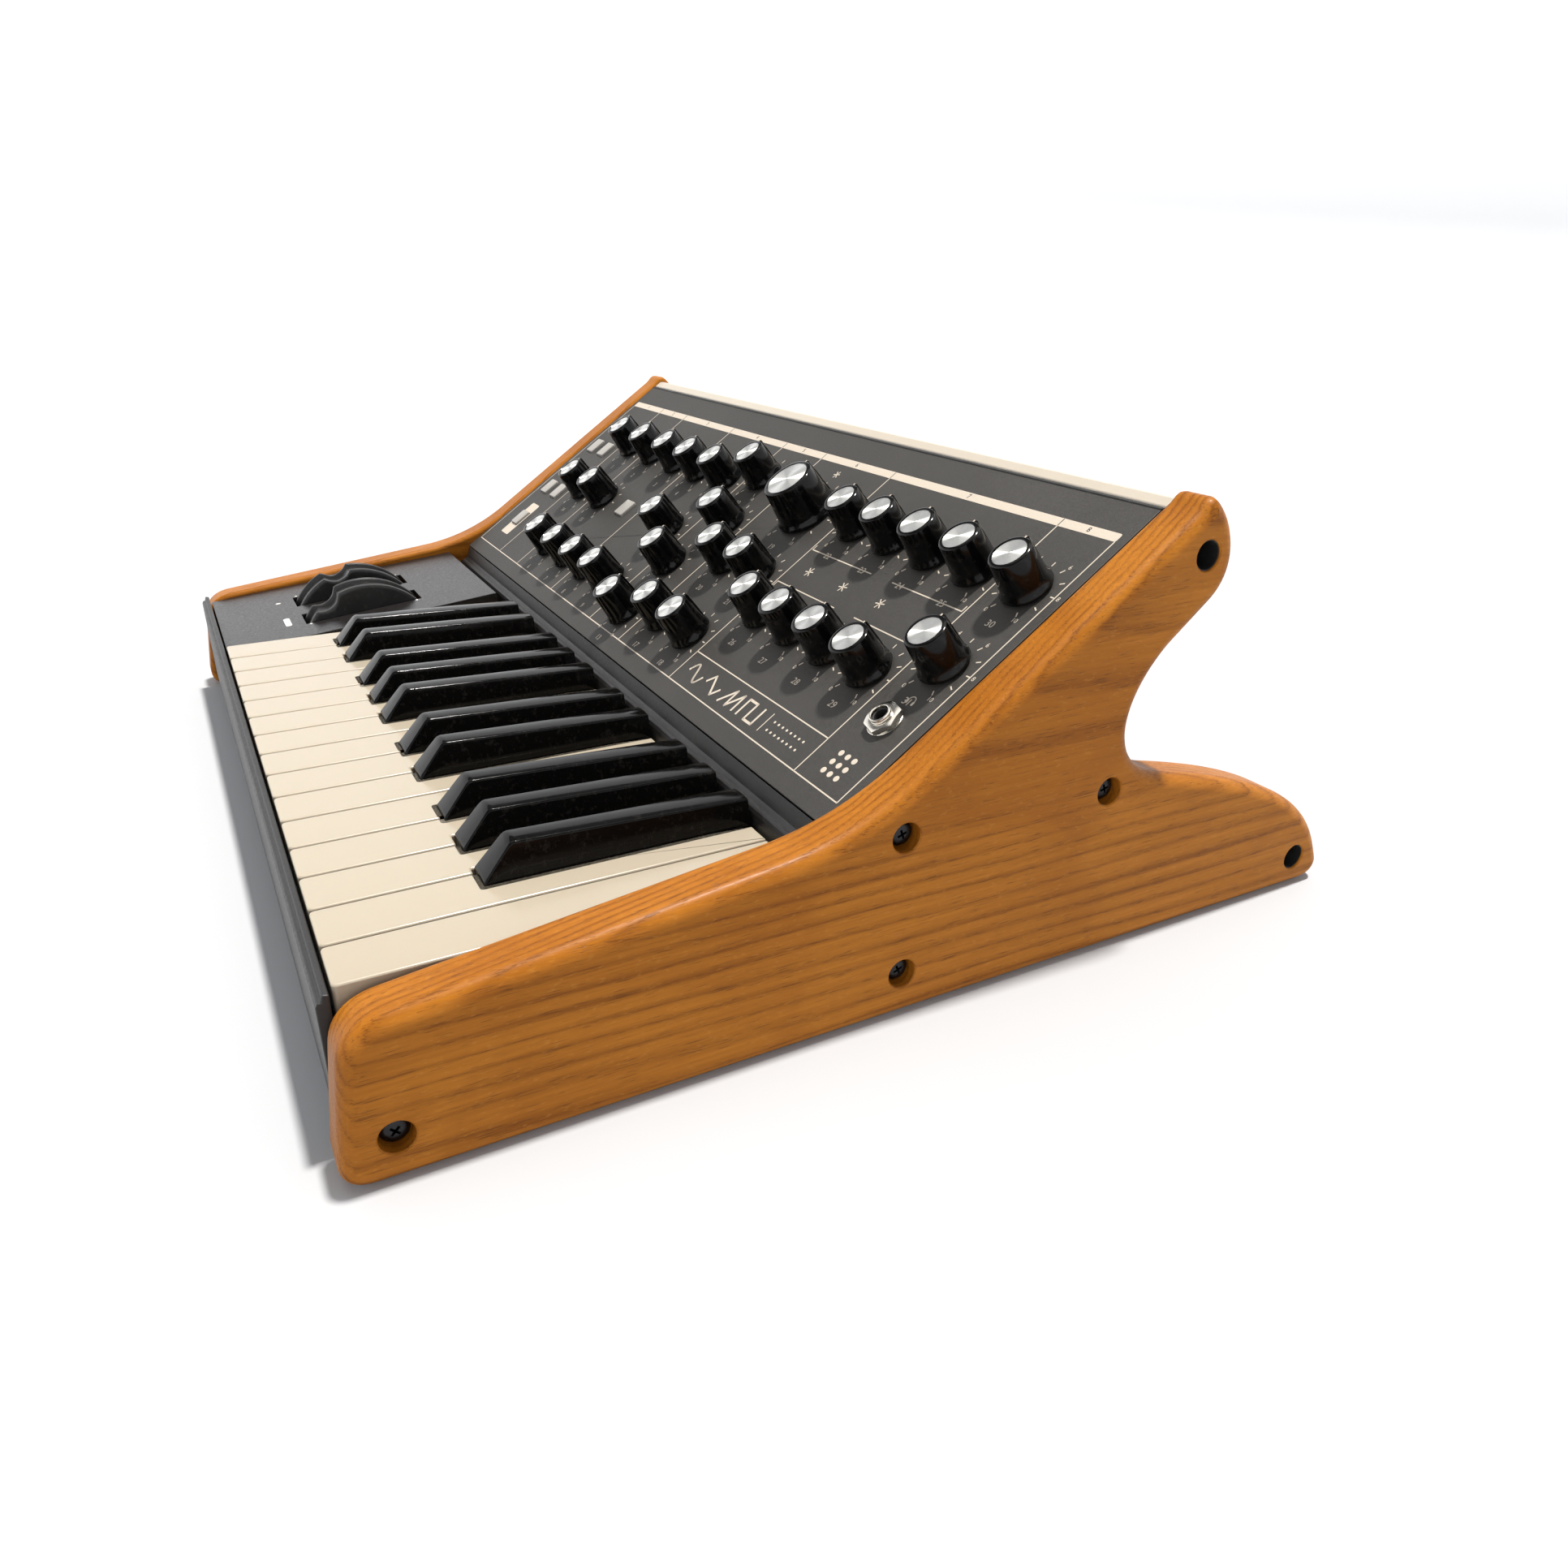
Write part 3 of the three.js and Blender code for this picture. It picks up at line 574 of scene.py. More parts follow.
# The cheek seen from the right, (Y, Z), as lines and Bezier curves
CHEEK_PATH = [
    [(1.5, GROUND), (389, GROUND)],
    [(389, GROUND), (399.75, GROUND), (399.75, -49)],
    [(399.75, -49), (392, -29), (382, -8), (300, 11)],
    [(300, 11), (268, 18), (270, 44), (289.7, 62.7)],
    [(289.7, 62.7), (306, 76)],
    [(306, 76), (320, 87), (314, 105), (304.5, 113)],
    [(304.5, 113), (301, 116), (297, 110.3)],
    [(297, 110.3), (188.5, 35)],
    [(188.5, 35), (163, 17.4), (133, 13.8)],
    [(133, 13.8), (12, -1)],
    [(12, -1), (-2.5, -2.6), (-4, -16)],
    [(-4, -16), (-8.25, -49)],
    [(-8.25, -49), (-8.25, GROUND), (1.5, GROUND)],
]


def bezier_point(controls, t):
    points = [Vector(p) for p in controls]
    while len(points) > 1:
        points = [a.lerp(b, t) for a, b in zip(points, points[1:])]
    return points[0]


def sampled(path, step):
    """Evenly spaced points along a closed path of lines and Bezier curves."""
    dense = [bezier_point(part, k / 60) for part in path for k in range(60)]
    dense.append(dense[0])
    lengths = [0.0]
    for a, b in zip(dense, dense[1:]):
        lengths.append(lengths[-1] + (b - a).length)
    count = round(lengths[-1] / step)
    targets = np.linspace(0, lengths[-1], count, endpoint=False)
    return [tuple(np.interp(t, lengths, [p[axis] for p in dense]) for axis in (0, 1)) for t in targets]


def on_cheek(shape, face_x, side, y, z):
    """Stands a shape on a cheek's outer face, with its own Z pointing out."""
    return placed(shape, shift(face_x, y, z) @ spin(side * math.pi / 2, "Y"))


def bore_cutter(thickness, depth):
    """A counterbore with a broken edge, and a shank hole through the whole cheek."""
    mouth = BORE_RADIUS + BORE_EDGE + 0.3
    return lathe([
        (SHANK_HOLE_RADIUS, -thickness - 1), (SHANK_HOLE_RADIUS, -depth), (BORE_RADIUS, -depth),
        (BORE_RADIUS, -BORE_EDGE), (mouth, 0.3), (mouth, 2),
    ], 40)


def bore_sleeve():
    """A dark cup that lines a spare bore: painted shade inside the empty hole."""
    outer, floor = BORE_RADIUS - 0.03, -SPARE_BORE_DEPTH + 0.1
    inner, mouth = outer - 0.35, -0.9
    return lathe([(outer, floor), (outer, mouth), (inner, mouth), (inner, floor + 0.4)], 40)


def cheek(node, side, material):
    low, high = deck_box(node)
    face = high.x if side > 0 else low.x
    rounds = (CHEEK_INNER_ROUND, CHEEK_OUTER_ROUND)[::side]
    outline = sampled(CHEEK_PATH, CHEEK_STEP)
    board = along_x(plate(outline, low.x, high.x, *rounds, steps=7, crowded=True))
    made = piece(node + "_board", [(board, material)], slot="oak", replaces=[node])
    bores = []
    for depth, places in ((SCREW_BORE_DEPTH, SCREW_PLACES), (SPARE_BORE_DEPTH, SPARE_PLACES)):
        bores += [on_cheek(bore_cutter(high.x - low.x, depth), face, side, *place) for place in places]
    cut_with(made, join_shapes(*bores))
    even_normals(made)
    # Dark cups in the spare bores: painted shade inside the empty holes
    shade_cups = [on_cheek(bore_sleeve(), face, side, *place) for place in SPARE_PLACES]
    piece(node + "_bore_shade_cups", [(join_shapes(*shade_cups), SHADE_AND_LINING_DARK)], slot="black_steel")
    for number, (y, z) in enumerate(SCREW_PLACES):
        seat = face - side * (SCREW_BORE_DEPTH - SCREW_LIFT)
        phillips_screw(f"{node}_screw_{number + 1}", seat, side, y, z)


def phillips_screw(name, x, side, y, z):
    """Pan head with a cross recess, seated at the bottom of the counterbore."""
    profile = [(1.9, -16.5), (1.9, 0), (4.7, 0), (4.85, 0.35), (4.75, 1.0)]
    profile += [(4.2, 1.9), (3.1, 2.5), (1.6, 2.75), (0.3, 2.8)]
    seat = DECK @ shift(x, y, z) @ spin(side * math.pi / 2, "Y")
    made = piece(name, [(lathe(profile, 40), SCREW_BLACK)], at=seat, slot="black_steel")
    levels = ((0.22, 0.7, 0.9), (0.5, 2.3, 3.4))
    arm = loft([[(-w, -r, h), (w, -r, h), (w, r, h), (-w, r, h)] for w, r, h in levels])
    for shape in (arm, placed(arm, spin(math.pi / 2, "Z"))):
        cut_with(made, shape, at=seat @ spin(math.radians(y * 3 + 20), "Z"))


def cheeks():
    cheek("cheek_left", -1, OAK_LEFT)
    cheek("cheek_right", 1, OAK_RIGHT)


# ---- Steel chassis ----

SHEET = 2.0
REAR_GAP = 0.5
END_PLATE = [(289, 96), (282, 93), (168, 13), (158, 4), (156, -31.5)]
END_PLATE_REAR, END_PLATE_FRONT = 44, -31.5
# A dark block in the gap between the panel and the rear top strip: painted shade for the shadow in that
# gap
GAP_SHADE = {"front": 294.6, "rear": 297.4, "bottom": 104.5, "top": 108.0}


def chassis():
    """Floor and end plates, and the folded parts that keep their CAD shape."""
    left, right = (corner.x for corner in deck_box("key_slip"))
    tray = deck_box("chassis_tray")[0]
    front, rear, bottom = tray.y, deck_box("rear_panel")[0].y - REAR_GAP, tray.z
    floor = block((left, front, bottom), (right, rear, bottom + SHEET), 1.0, 0.5)
    wall = [(rear, bottom), (rear, END_PLATE_REAR)]
    corners = [(front, bottom), *wall, *END_PLATE, (front, END_PLATE_FRONT)]
    outline = filleted(corners, 1.0, 2)
    ends = [along_x(plate(outline, x, x + SHEET, 0.4, 0.4, 2)) for x in (left, right - SHEET)]
    layers = [(join_shapes(floor, *ends), CHASSIS_PAINT)]
    piece("chassis_tray_shell", layers, slot="black_steel", replaces=["chassis_tray"])
    for node in ("key_slip", "front_rail", "rear_panel"):
        soften_node(node, CHASSIS_PAINT)
    soften_node("wheel_panel", DECK_PAINT, 0.3)
    soften_node("control_panel", PANEL_PAINT, 0.3)
    # The rear top strip's pale cream is a painted highlight of light on the rear top edge
    soften_node("rear_top_strip", REAR_HIGHLIGHT_CREAM, 0.5)
    # Dark block as painted shade in the gap below the rear top strip
    gap_shade = block((left, GAP_SHADE["front"], GAP_SHADE["bottom"]), (right, GAP_SHADE["rear"], GAP_SHADE["top"]), 0.3, 0.3)
    piece("rear_top_gap_shade", [(gap_shade, SHADE_AND_LINING_DARK)], slot="black_steel")
    soften_node("keybed", KEYBED_STEEL, 0.3)
    soften_node("main_board", BOARD_GREEN, 0.2, 1)


# ---- Keyboard ----

KEY_DEPTH, KEY_LENGTH = 16.0, 150.5
NOTCH_GAP = 0.9
WHITE_EDGE = 0.85
WHITE_CORNER = 2.0
TAIL = {"end": 188, "top": -5, "bottom": -14, "half": 4.5, "inside": 6}
BLACK = {
    "half": 6.95, "half_top": 4.9, "height": 13.0, "rear_height": 9.9, "slope": 10.5, "edge": 0.9,
    "lip": 0.9, "fall": 86, "blend": 1.5, "crown": 0.25,
}


def tail(x, start):
    low = (x - TAIL["half"], start, TAIL["bottom"])
    return block(low, (x + TAIL["half"], TAIL["end"], TAIL["top"]), 0.6, 0.4)


def white_key(node, blacks):
    low, high = deck_box(node)
    left, right = low.x, high.x
    centre = (left + right) / 2
    inner_left, inner_right = left, right
    notch = None
    for black in blacks:
        black_low, black_high = deck_box(black)
        if left - 1 < black_high.x < centre:
            inner_left, notch = black_high.x + NOTCH_GAP, black_low.y - NOTCH_GAP
        if centre < black_low.x < right + 1:
            inner_right, notch = black_low.x - NOTCH_GAP, black_low.y - NOTCH_GAP
    corners, radii = [(left, 0), (right, 0)], [WHITE_CORNER, WHITE_CORNER]
    if inner_right < right:
        corners += [(right, notch), (inner_right, notch)]
        radii += [1.0, 0.6]
    corners += [(inner_right, KEY_LENGTH), (inner_left, KEY_LENGTH)]
    radii += [0.5, 0.5]
    if inner_left > left:
        corners += [(inner_left, notch), (left, notch)]
        radii += [0.6, 1.0]
    cap = plate(filleted(corners, radii, 5), -KEY_DEPTH, 0, 0.3, WHITE_EDGE, 4)
    body = join_shapes(cap, tail((inner_left + inner_right) / 2, KEY_LENGTH - TAIL["inside"]))
    made = piece(node + "_cap", [(body, IVORY)], body=node, slot="white_key", replaces=[node])
    even_normals(made)


def smooth_min(a, b, blend):
    share = max(blend - abs(a - b), 0) / blend
    return min(a, b) - share * share * blend / 4


def black_section(y, front):
    """Half-oval ring across a black key: straight sides, rounded shoulders and a crowned top."""
    run = y - front
    fall = (BLACK["height"] - BLACK["rear_height"]) / BLACK["fall"]
    top_line = BLACK["height"] - fall * max(run - BLACK["slope"], 0)
    rise = BLACK["lip"] + run * (BLACK["height"] - BLACK["lip"]) / BLACK["slope"]
    top = smooth_min(rise, top_line, BLACK["blend"])
    edge = min(BLACK["edge"], top * 0.8)

    def half(z):
        return BLACK["half"] - (BLACK["half"] - BLACK["half_top"]) * min(max(z / BLACK["height"], 0), 1)

    side = [(half(0), -KEY_DEPTH), (half(0), -0.2), (half((top - edge) / 2), (top - edge) / 2)]
    flat, shoulder = half(top) - edge, top - edge
    angles = np.linspace(0, math.pi / 2, 6)
    side += [(flat + edge * math.cos(a), shoulder + edge * math.sin(a)) for a in angles]
    side += [(flat * (1 - k / 3), top + BLACK["crown"] * (1 - (1 - k / 3) ** 2)) for k in (1, 2)]
    right = [(x, y, z) for x, z in side]
    return right + [(0, y, top + BLACK["crown"])] + [(-x, y, z) for x, y, z in right[::-1]]


def black_key(node):
    low, high = deck_box(node)
    centre, front, rear = (low.x + high.x) / 2, low.y, KEY_LENGTH
    places = [front, front + 0.25, front + 0.8] + list(np.linspace(front + 2, front + 20, 20))
    places += list(np.linspace(front + 26, rear - 0.6, 9)) + [rear]
    rings = [black_section(y, front) for y in places]
    rings[0] = [(x * 0.97, y, z if z < 0 else z * 0.7) for x, y, z in rings[0]]
    rings[-1] = [(x * 0.96, y, z if z < 0 else z - 0.4) for x, y, z in rings[-1]]
    body = join_shapes(moved(loft(rings), centre, 0), tail(centre, rear - TAIL["inside"]))
    layers = [(body, EBONY)]
    made = piece(node + "_cap", layers, body=node, slot="black_key", replaces=[node], sharp=40)
    even_normals(made)


def keyboard():
    keys = [n for n in NODES if n.startswith("key_") and n != "key_slip"]
    blacks = sorted(n for n in keys if "_sharp" in n)
    for node in sorted(keys):
        if node in blacks:
            black_key(node)
        else:
            white_key(node, blacks)


# ---- Performance wheels ----

WHEEL = {"radius": 38.0, "half": 9.5, "rim": 2.3, "recess": 2.1, "flat": -5.0, "hub": 8.0}
NOTCH = {"radius": 9.0, "reach": 42.5, "blend": 2.4}
AXLE_HALF, AXLE_RADIUS = 15.5, 3.0
WHEEL_PANEL_FRONT, WHEEL_PANEL_LEAN = -5.0, math.radians(6.1)
LAMP_LINE, SLOT_ENDS = 34.6, (45.8, 105.1)


def wheel_radius(angle, notch_angle):
    """Distance from the axle to the tread at an angle from upright, with the finger notch."""
    turn = angle - notch_angle
    across = NOTCH["reach"] * math.sin(turn)
    if abs(turn) > 1 or abs(across) >= NOTCH["radius"]:
        return WHEEL["radius"]
    bowl = NOTCH["reach"] * math.cos(turn) - math.sqrt(NOTCH["radius"] ** 2 - across ** 2)
    return smooth_min(bowl, WHEEL["radius"], NOTCH["blend"])


def tread_profile():
    """(place across the wheel, depth below the rim)."""
    half, rim, recess = WHEEL["half"], WHEEL["rim"], WHEEL["recess"]
    outer = [(half, 2.2), (half, 1.0), (half - 0.3, 0.3), (half - 1.0, 0.0), (half - rim, 0.0)]
    outer += [(half - rim - 0.5, 0.35), (half - rim - 0.9, recess), (half / 3, recess + 0.25)]
    return [(-x, depth) for x, depth in outer] + outer[::-1]


def performance_wheel(node, notch_angle, cover_angle):
    """A disc cut off below its hub; the notch and the cover stand at angles from upright."""
    joint = JOINTS[node]
    axle = (Vector(joint["pos_m"]) - DECK_ORIGIN) / MM
    start = math.pi / 2 - math.asin(WHEEL["flat"] / WHEEL["radius"])
    angles = np.linspace(cover_angle - start, cover_angle + start, 150)
    profile = tread_profile()
    rings = []
    for angle in angles:
        radius = wheel_radius(angle, notch_angle)
        across, up = math.sin(angle), math.cos(angle)
        rings.append([(x, across * (radius - d), up * (radius - d)) for x, d in profile])
    vertices = [p for ring in rings for p in ring]
    count = len(profile)
    faces = []
    for level in range(len(rings) - 1):
        for i in range(count - 1):
            a = level * count + i
            faces.append([a, a + 1, a + count + 1, a + count])
    turned = spin(-cover_angle, "X")
    base = len(vertices)
    for y in (WHEEL["hub"], -WHEEL["hub"]):
        for x in (-WHEEL["half"], WHEEL["half"]):
            vertices.append(tuple(turned @ Vector((x, y, WHEEL["flat"] - WHEEL["hub"]))))
    last = (len(rings) - 1) * count
    faces.append([level * count for level in range(len(rings))] + [base, base + 2])
    faces.append([level * count + count - 1 for level in range(len(rings))] + [base + 1, base + 3])
    faces.append([last + i for i in range(count)] + [base + 1, base])
    faces.append(list(range(count)) + [base + 3, base + 2])
    faces.append([base, base + 1, base + 3, base + 2])
    pin = rod((-AXLE_HALF, 0, 0), (1, 0, 0), AXLE_RADIUS, 2 * AXLE_HALF, 24)
    at = DECK @ Matrix.Translation(axle)
    layers = [((vertices, faces), WHEEL_BLACK), (pin, KEYBED_STEEL)]
    piece(node + "_moulding", layers, at=at, sharp=38, body=node, slot="wheel_plastic", replaces=[node])


def wheel_marks():
    """Lamp, pill and corner dots beside the wheel slots, on the leaning panel."""
    def dot(x, y, radius):
        return moved(lathe([(radius, -0.3), (radius, 0.0), (radius * 0.8, 0.12)], 20), x, y)

    pitch_x, mod_x = ((JOINTS[n]["pos_m"][0] - DECK_ORIGIN.x) / MM for n in ("pitch_wheel", "mod_wheel"))
    marks = [dot(x, y, 0.85) for x in (pitch_x - 12.6, mod_x + 11.9) for y in SLOT_ENDS]
    marks.append(dot(pitch_x - 4.4, LAMP_LINE, 1.5))
    pill = rectangle(mod_x - 8.6, LAMP_LINE - 1.6, mod_x + 7.6, LAMP_LINE + 1.8, 1.69, 5)
    marks.append(plate(pill, -0.3, 0.1))
    leaning = DECK @ shift(0, 0, WHEEL_PANEL_FRONT) @ spin(WHEEL_PANEL_LEAN, "X")
    piece("wheel_panel_lamps", [(join_shapes(*marks), LAMP)], at=leaning, slot="switch_plastic")


# ---- Knobs ----

SMALL = {"skirt": 10.5, "foot": 9.4, "top": 8.4, "height": 17.8, "inlay": 6.6}
LARGE = {"skirt": 15.6, "foot": 14.0, "top": 12.3, "height": 21.0, "inlay": 10.3}
SHAFT = {"radius": 3.0, "low": -8.7}
KNOB_SEAT = 0.8
INLAY_DEPTH = 0.35
TOP_ROW, MIDDLE_ROW, BOTTOM_ROW = 115.3, 74.0, 31.7
FIXED_KNOBS = [(x, TOP_ROW) for x in (-49.4, -15, 20.4, 51.4, 83.4)]
FIXED_KNOBS += [(x, BOTTOM_ROW) for x in (-13.6, 18.4, 50.2, 81.3)]
FIXED_KNOBS += [(114, 124), (126, 91.2), (115, 57.5), (124, 23.5)]
FIXED_KNOBS += [(x, MIDDLE_ROW) for x in (-49.4, -15.5, 82)]
FIXED_KNOBS += [(x, BOTTOM_ROW) for x in (157.5, 187.5)]
MOVING_KNOBS = [node for node in JOINTS if node.endswith("_knob")]


def knob_fin(size):
    """The pointer: a narrow ridge from the top rim down to the skirt's edge."""
    top, foot, height = size["top"], size["foot"], size["height"]
    levels = [
        (height - 0.25, top - 1.6, top + 0.5, 0.75), (height - 0.9, top - 1.8, top + 1.0, 1.05),
        (height * 0.5, top - 1.0, (top + size["skirt"]) / 2 + 0.4, 1.35),
        (4.2, foot - 2, size["skirt"] - 0.5, 1.6), (KNOB_SEAT + 0.6, foot - 2, size["skirt"] - 0.15, 1.7),
    ]
    rings = []
    for h, inner, outer, half in levels:
        nose = [(half, outer - 0.5), (half * 0.55, outer), (-half * 0.55, outer), (-half, outer - 0.5)]
        rings.append([(half, inner, h), *[(x, y, h) for x, y in nose], (-half, inner, h)])
    return loft(rings)


def knob_line(size):
    """White line along the pointer's ridge."""
    top, height, half = size["top"], size["height"], 0.42
    spine = [
        (top - 1.5, height - 0.2), (top + 0.46, height - 0.2), (top + 1.06, height - 0.9),
        ((top + size["skirt"]) / 2 + 0.46, height * 0.5), (size["skirt"] - 0.44, 4.2),
    ]
    outer = [(-half, y, h) for y, h in spine] + [(half, y, h) for y, h in spine[::-1]]
    inner = [(x, y - 0.2, h - 0.1) for x, y, h in outer]
    return loft([inner, outer])


def knob_meshes(name, size):
    """Grip with its pointer, and the metal inlay, in metres about the knob's own place."""
    top, foot, height, inlay, skirt = (size[k] for k in ("top", "foot", "height", "inlay", "skirt"))
    disc_top = height - INLAY_DEPTH
    profile = [
        (SHAFT["radius"], SHAFT["low"]), (SHAFT["radius"], KNOB_SEAT), (skirt - 0.35, KNOB_SEAT),
        (skirt, KNOB_SEAT + 0.45), (skirt - 0.05, KNOB_SEAT + 1.1), (skirt - 0.45, KNOB_SEAT + 1.8),
        (foot + 0.35, 3.5), (foot + 0.05, 4.3), (foot - 0.08, 5.4), ((foot + top) / 2, height * 0.58),
        (top + 0.04, height - 1.1), (top - 0.16, height - 0.45), (top - 0.6, height - 0.08),
        (top - 1.0, height), (inlay + 0.2, height), (inlay + 0.06, height - 0.15),
        (inlay + 0.04, disc_top - 0.3),
    ]
    layers = [(lathe(profile, 64), KNOB_BLACK), (knob_fin(size), KNOB_BLACK), (knob_line(size), INK)]
    disc = lathe([(inlay - 0.02, disc_top - 0.25), (inlay, disc_top), (0.2, disc_top + 0.04)], 64)
    metres = Matrix.Scale(MM, 4)
    return make_mesh(name, layers, metres, 32), make_mesh(name + "_inlay", [(disc, SPUN)], metres, 32)


def place_knob(name, meshes, spot, body, replaces=()):
    world = Matrix.Translation(spot) @ spin(TILT, "X")
    add_object(name + "_grip", meshes[0], body, "knob_plastic", replaces, world)
    add_object(name + "_inlay", meshes[1], body, "knob_plastic", (), world)


def knobs():
    small = knob_meshes("small_knob", SMALL)
    large = knob_meshes("large_knob", LARGE)
    for node in MOVING_KNOBS:
        meshes = large if node == "cutoff_knob" else small
        place_knob(node, meshes, Vector(JOINTS[node]["pos_m"]), node, [node])
    for number, (x, y) in enumerate(FIXED_KNOBS):
        place_knob(f"left_knob_{number + 1}", small, SLOPE @ Vector((x, y, 0)), "chassis")


def pot_board():
    """Circuit board under the panel, with a potentiometer body below each left-hand knob."""
    board = block((-108, 6, -10.6), (346, 132, -9.0), 1.0, 0.2)
    pots = [block((x - 5, y - 5.5, -9.1), (x + 5, y + 5, -4.2), 0.6, 0.4) for x, y in FIXED_KNOBS]
    layers = [(board, BOARD_GREEN), (join_shapes(*pots), KEYBED_STEEL)]
    piece("pot_board_assembly", layers, at=SLOPE, slot="circuit_board", replaces=["pot_board"])


# ---- Switches and headphone jack ----

SWITCH_LOW, SWITCH_RISE = -5, 1.4
# (X, up the slope, width, length)
SWITCHES = {
    "octave_down_switch": (-99.4, 105.6, 10, 11.2), "octave_up_switch": (-80.6, 105.6, 10, 11.2),
    "bank_switch": (-98.2, 64.2, 10, 11.2), "preset_switch": (-79.4, 64.2, 10, 11.2),
    "arpeggio_switch": (-89.2, 35.4, 10, 11.2), "sync_switch": (18.6, 74, 11, 11.2),
}
JACK = (334.2, 43.6)


def switches():
    for node, (x, y, width, length) in SWITCHES.items():
        outline = rectangle(-width / 2, -length / 2, width / 2, length / 2, 0.9, 4)
        cap = moved(plate(outline, SWITCH_LOW, SWITCH_RISE, 0.3, 0.55, 4), x, y)
        look = {"slot": "switch_plastic", "replaces": [node]}
        piece(node + "_cap", [(cap, SWITCH_WHITE)], at=SLOPE, body=node, **look)


def hex_nut(across, low, height, bore, slant=0.55):
    """Hexagon nut with its bore left open and its corners turned down, so each flat ends in an arc."""
    turns = [2 * math.pi * k / 96 for k in range(96)]
    flat = across / 2

    def ring(radius_at, level_at):
        return [(radius_at(a) * math.cos(a), radius_at(a) * math.sin(a), level_at(a)) for a in turns]

    def hexagon(angle):
        return flat / math.cos((angle + math.pi / 6) % (math.pi / 3) - math.pi / 6)

    def drop(angle):
        return (hexagon(angle) - flat * 0.97) * slant

    top = low + height
    return loft([
        ring(hexagon, lambda a: low + drop(a) * 0.6), ring(hexagon, lambda a: top - drop(a)),
        ring(lambda a: flat * 0.97, lambda a: top), ring(lambda a: bore, lambda a: top),
        ring(lambda a: bore, lambda a: low), ring(lambda a: flat * 0.9, lambda a: low),
    ], closed=True)


def threaded_bush(radius, bore, low, high, thread_from, pitch=0.5):
    """A bush with ridges like a fine thread, and a rounded mouth."""
    profile = [(radius, low)]
    h = thread_from
    while h + pitch < high - 0.8:
        profile += [(radius, h + 0.08), (radius - 0.22, h + pitch / 2), (radius, h + pitch - 0.08)]
        h += pitch
    profile += [(radius, high - 0.45), (radius - 0.12, high - 0.15), (radius - 0.4, high)]
    profile += [(bore + 0.4, high), (bore + 0.12, high - 0.12), (bore, high - 0.4), (bore, low)]
    return lathe(profile, 64, closed=True)


def jack_parts(nut_height=2.6, reach=5.0, low=-7.0):
    """Nut, washer and bush of a socket, and its dark lining."""
    nut = placed(hex_nut(13.2, 0.75, nut_height, 4.6), spin(0.35, "Z"))
    washer = lathe([(7.2, 0.12), (7.2, 0.62), (7.0, 0.75), (4.9, 0.75), (4.9, 0.12)], 64, closed=True)
    bush = threaded_bush(4.45, 3.3, low, reach, thread_from=0.9)
    lining = lathe([
        (3.25, low), (3.25, reach - 1.2), (2.9, reach - 1.6), (2.9, low + 1), (0.3, low + 1), (0.3, low),
    ], 48)
    return join_shapes(nut, washer, bush), lining


def headphone_jack():
    shell, lining = jack_parts()
    at = SLOPE @ shift(*JACK)
    layers = [(shell, NICKEL), (lining, SHADE_AND_LINING_DARK)]
    look = {"slot": "jack_chrome", "replaces": ["headphone_jack"], "sharp": 30}
    piece("headphone_jack_socket", layers, at=at, **look)


# ---- Rear connectors ----

REAR_JACK_X = (290, 262, 234, 206)
DIN_X = (160, 130)
CONNECTOR_Z, CONNECTOR_REACH = 12.0, 1.6
INLET = {"x": -70, "z": 10, "half_width": 12, "half_height": 10, "wall": 2, "depth": 14}


def facing_back(x, z, wall):
    """Frame on the rear wall: z points away from the player."""
    return DECK @ shift(x, wall, z) @ spin(-math.pi / 2, "X")


def din_socket():
    """Five-pin socket: its moulding, and its metal sleeve and contacts."""
    rim = [(8.8, -12), (8.8, 0.3), (8.3, 0.8), (7.3, 0.8), (7.0, 0.4), (7.0, -8), (8.0, -8), (8.0, -12)]
    rim = lathe(rim, 48, closed=True)
    floor = lathe([(6.98, -9.5), (6.98, -8.2), (6.6, -7.9), (0.3, -7.9)], 48)
    lip = lathe([(6.3, -8), (6.3, -1.2), (6.0, -1.0), (5.8, -1.2), (5.8, -8)], 48, closed=True)
    holes = []
    for k in range(5):
        angle = math.radians(-90 + (k - 2) * 45)
        hole = lathe([(0.95, -7.9), (0.95, -5.2), (0.55, -5.2), (0.55, -7.5), (0.2, -7.5)], 16)
        holes.append(moved(hole, 3.7 * math.cos(angle), 3.7 * math.sin(angle)))
    return join_shapes(rim, floor), join_shapes(lip, *holes)


def rear_connectors():
    wall = deck_box("rear_connectors")[1].y - CONNECTOR_REACH
    board = block((INLET["x"] - 20, wall - 24, -8), (304, wall - 22, 26), 1.0, 0.3)
    piece("rear_board", [(board, BOARD_GREEN)], slot="connector_plastic", replaces=["rear_connectors"])
    for number, x in enumerate(REAR_JACK_X):
        shell, lining = jack_parts(2.2, 4.2, -14)
        body = block((-6.5, -6.5, -21.8), (6.5, 6.5, -6.5), 1.0, 0.4)
        layers = [(shell, NICKEL), (lining, SHADE_AND_LINING_DARK), (body, CONNECTOR_BLACK)]
        at = facing_back(x, CONNECTOR_Z, wall)
        piece(f"rear_jack_{number + 1}", layers, at=at, slot="jack_chrome", sharp=30)
    for number, x in enumerate(DIN_X):
        shell, metal_parts = din_socket()
        layers = [(shell, CONNECTOR_BLACK), (metal_parts, NICKEL)]
        at = facing_back(x, CONNECTOR_Z, wall)
        piece(f"midi_socket_{number + 1}", layers, at=at, slot="connector_plastic")
    power_inlet(wall)


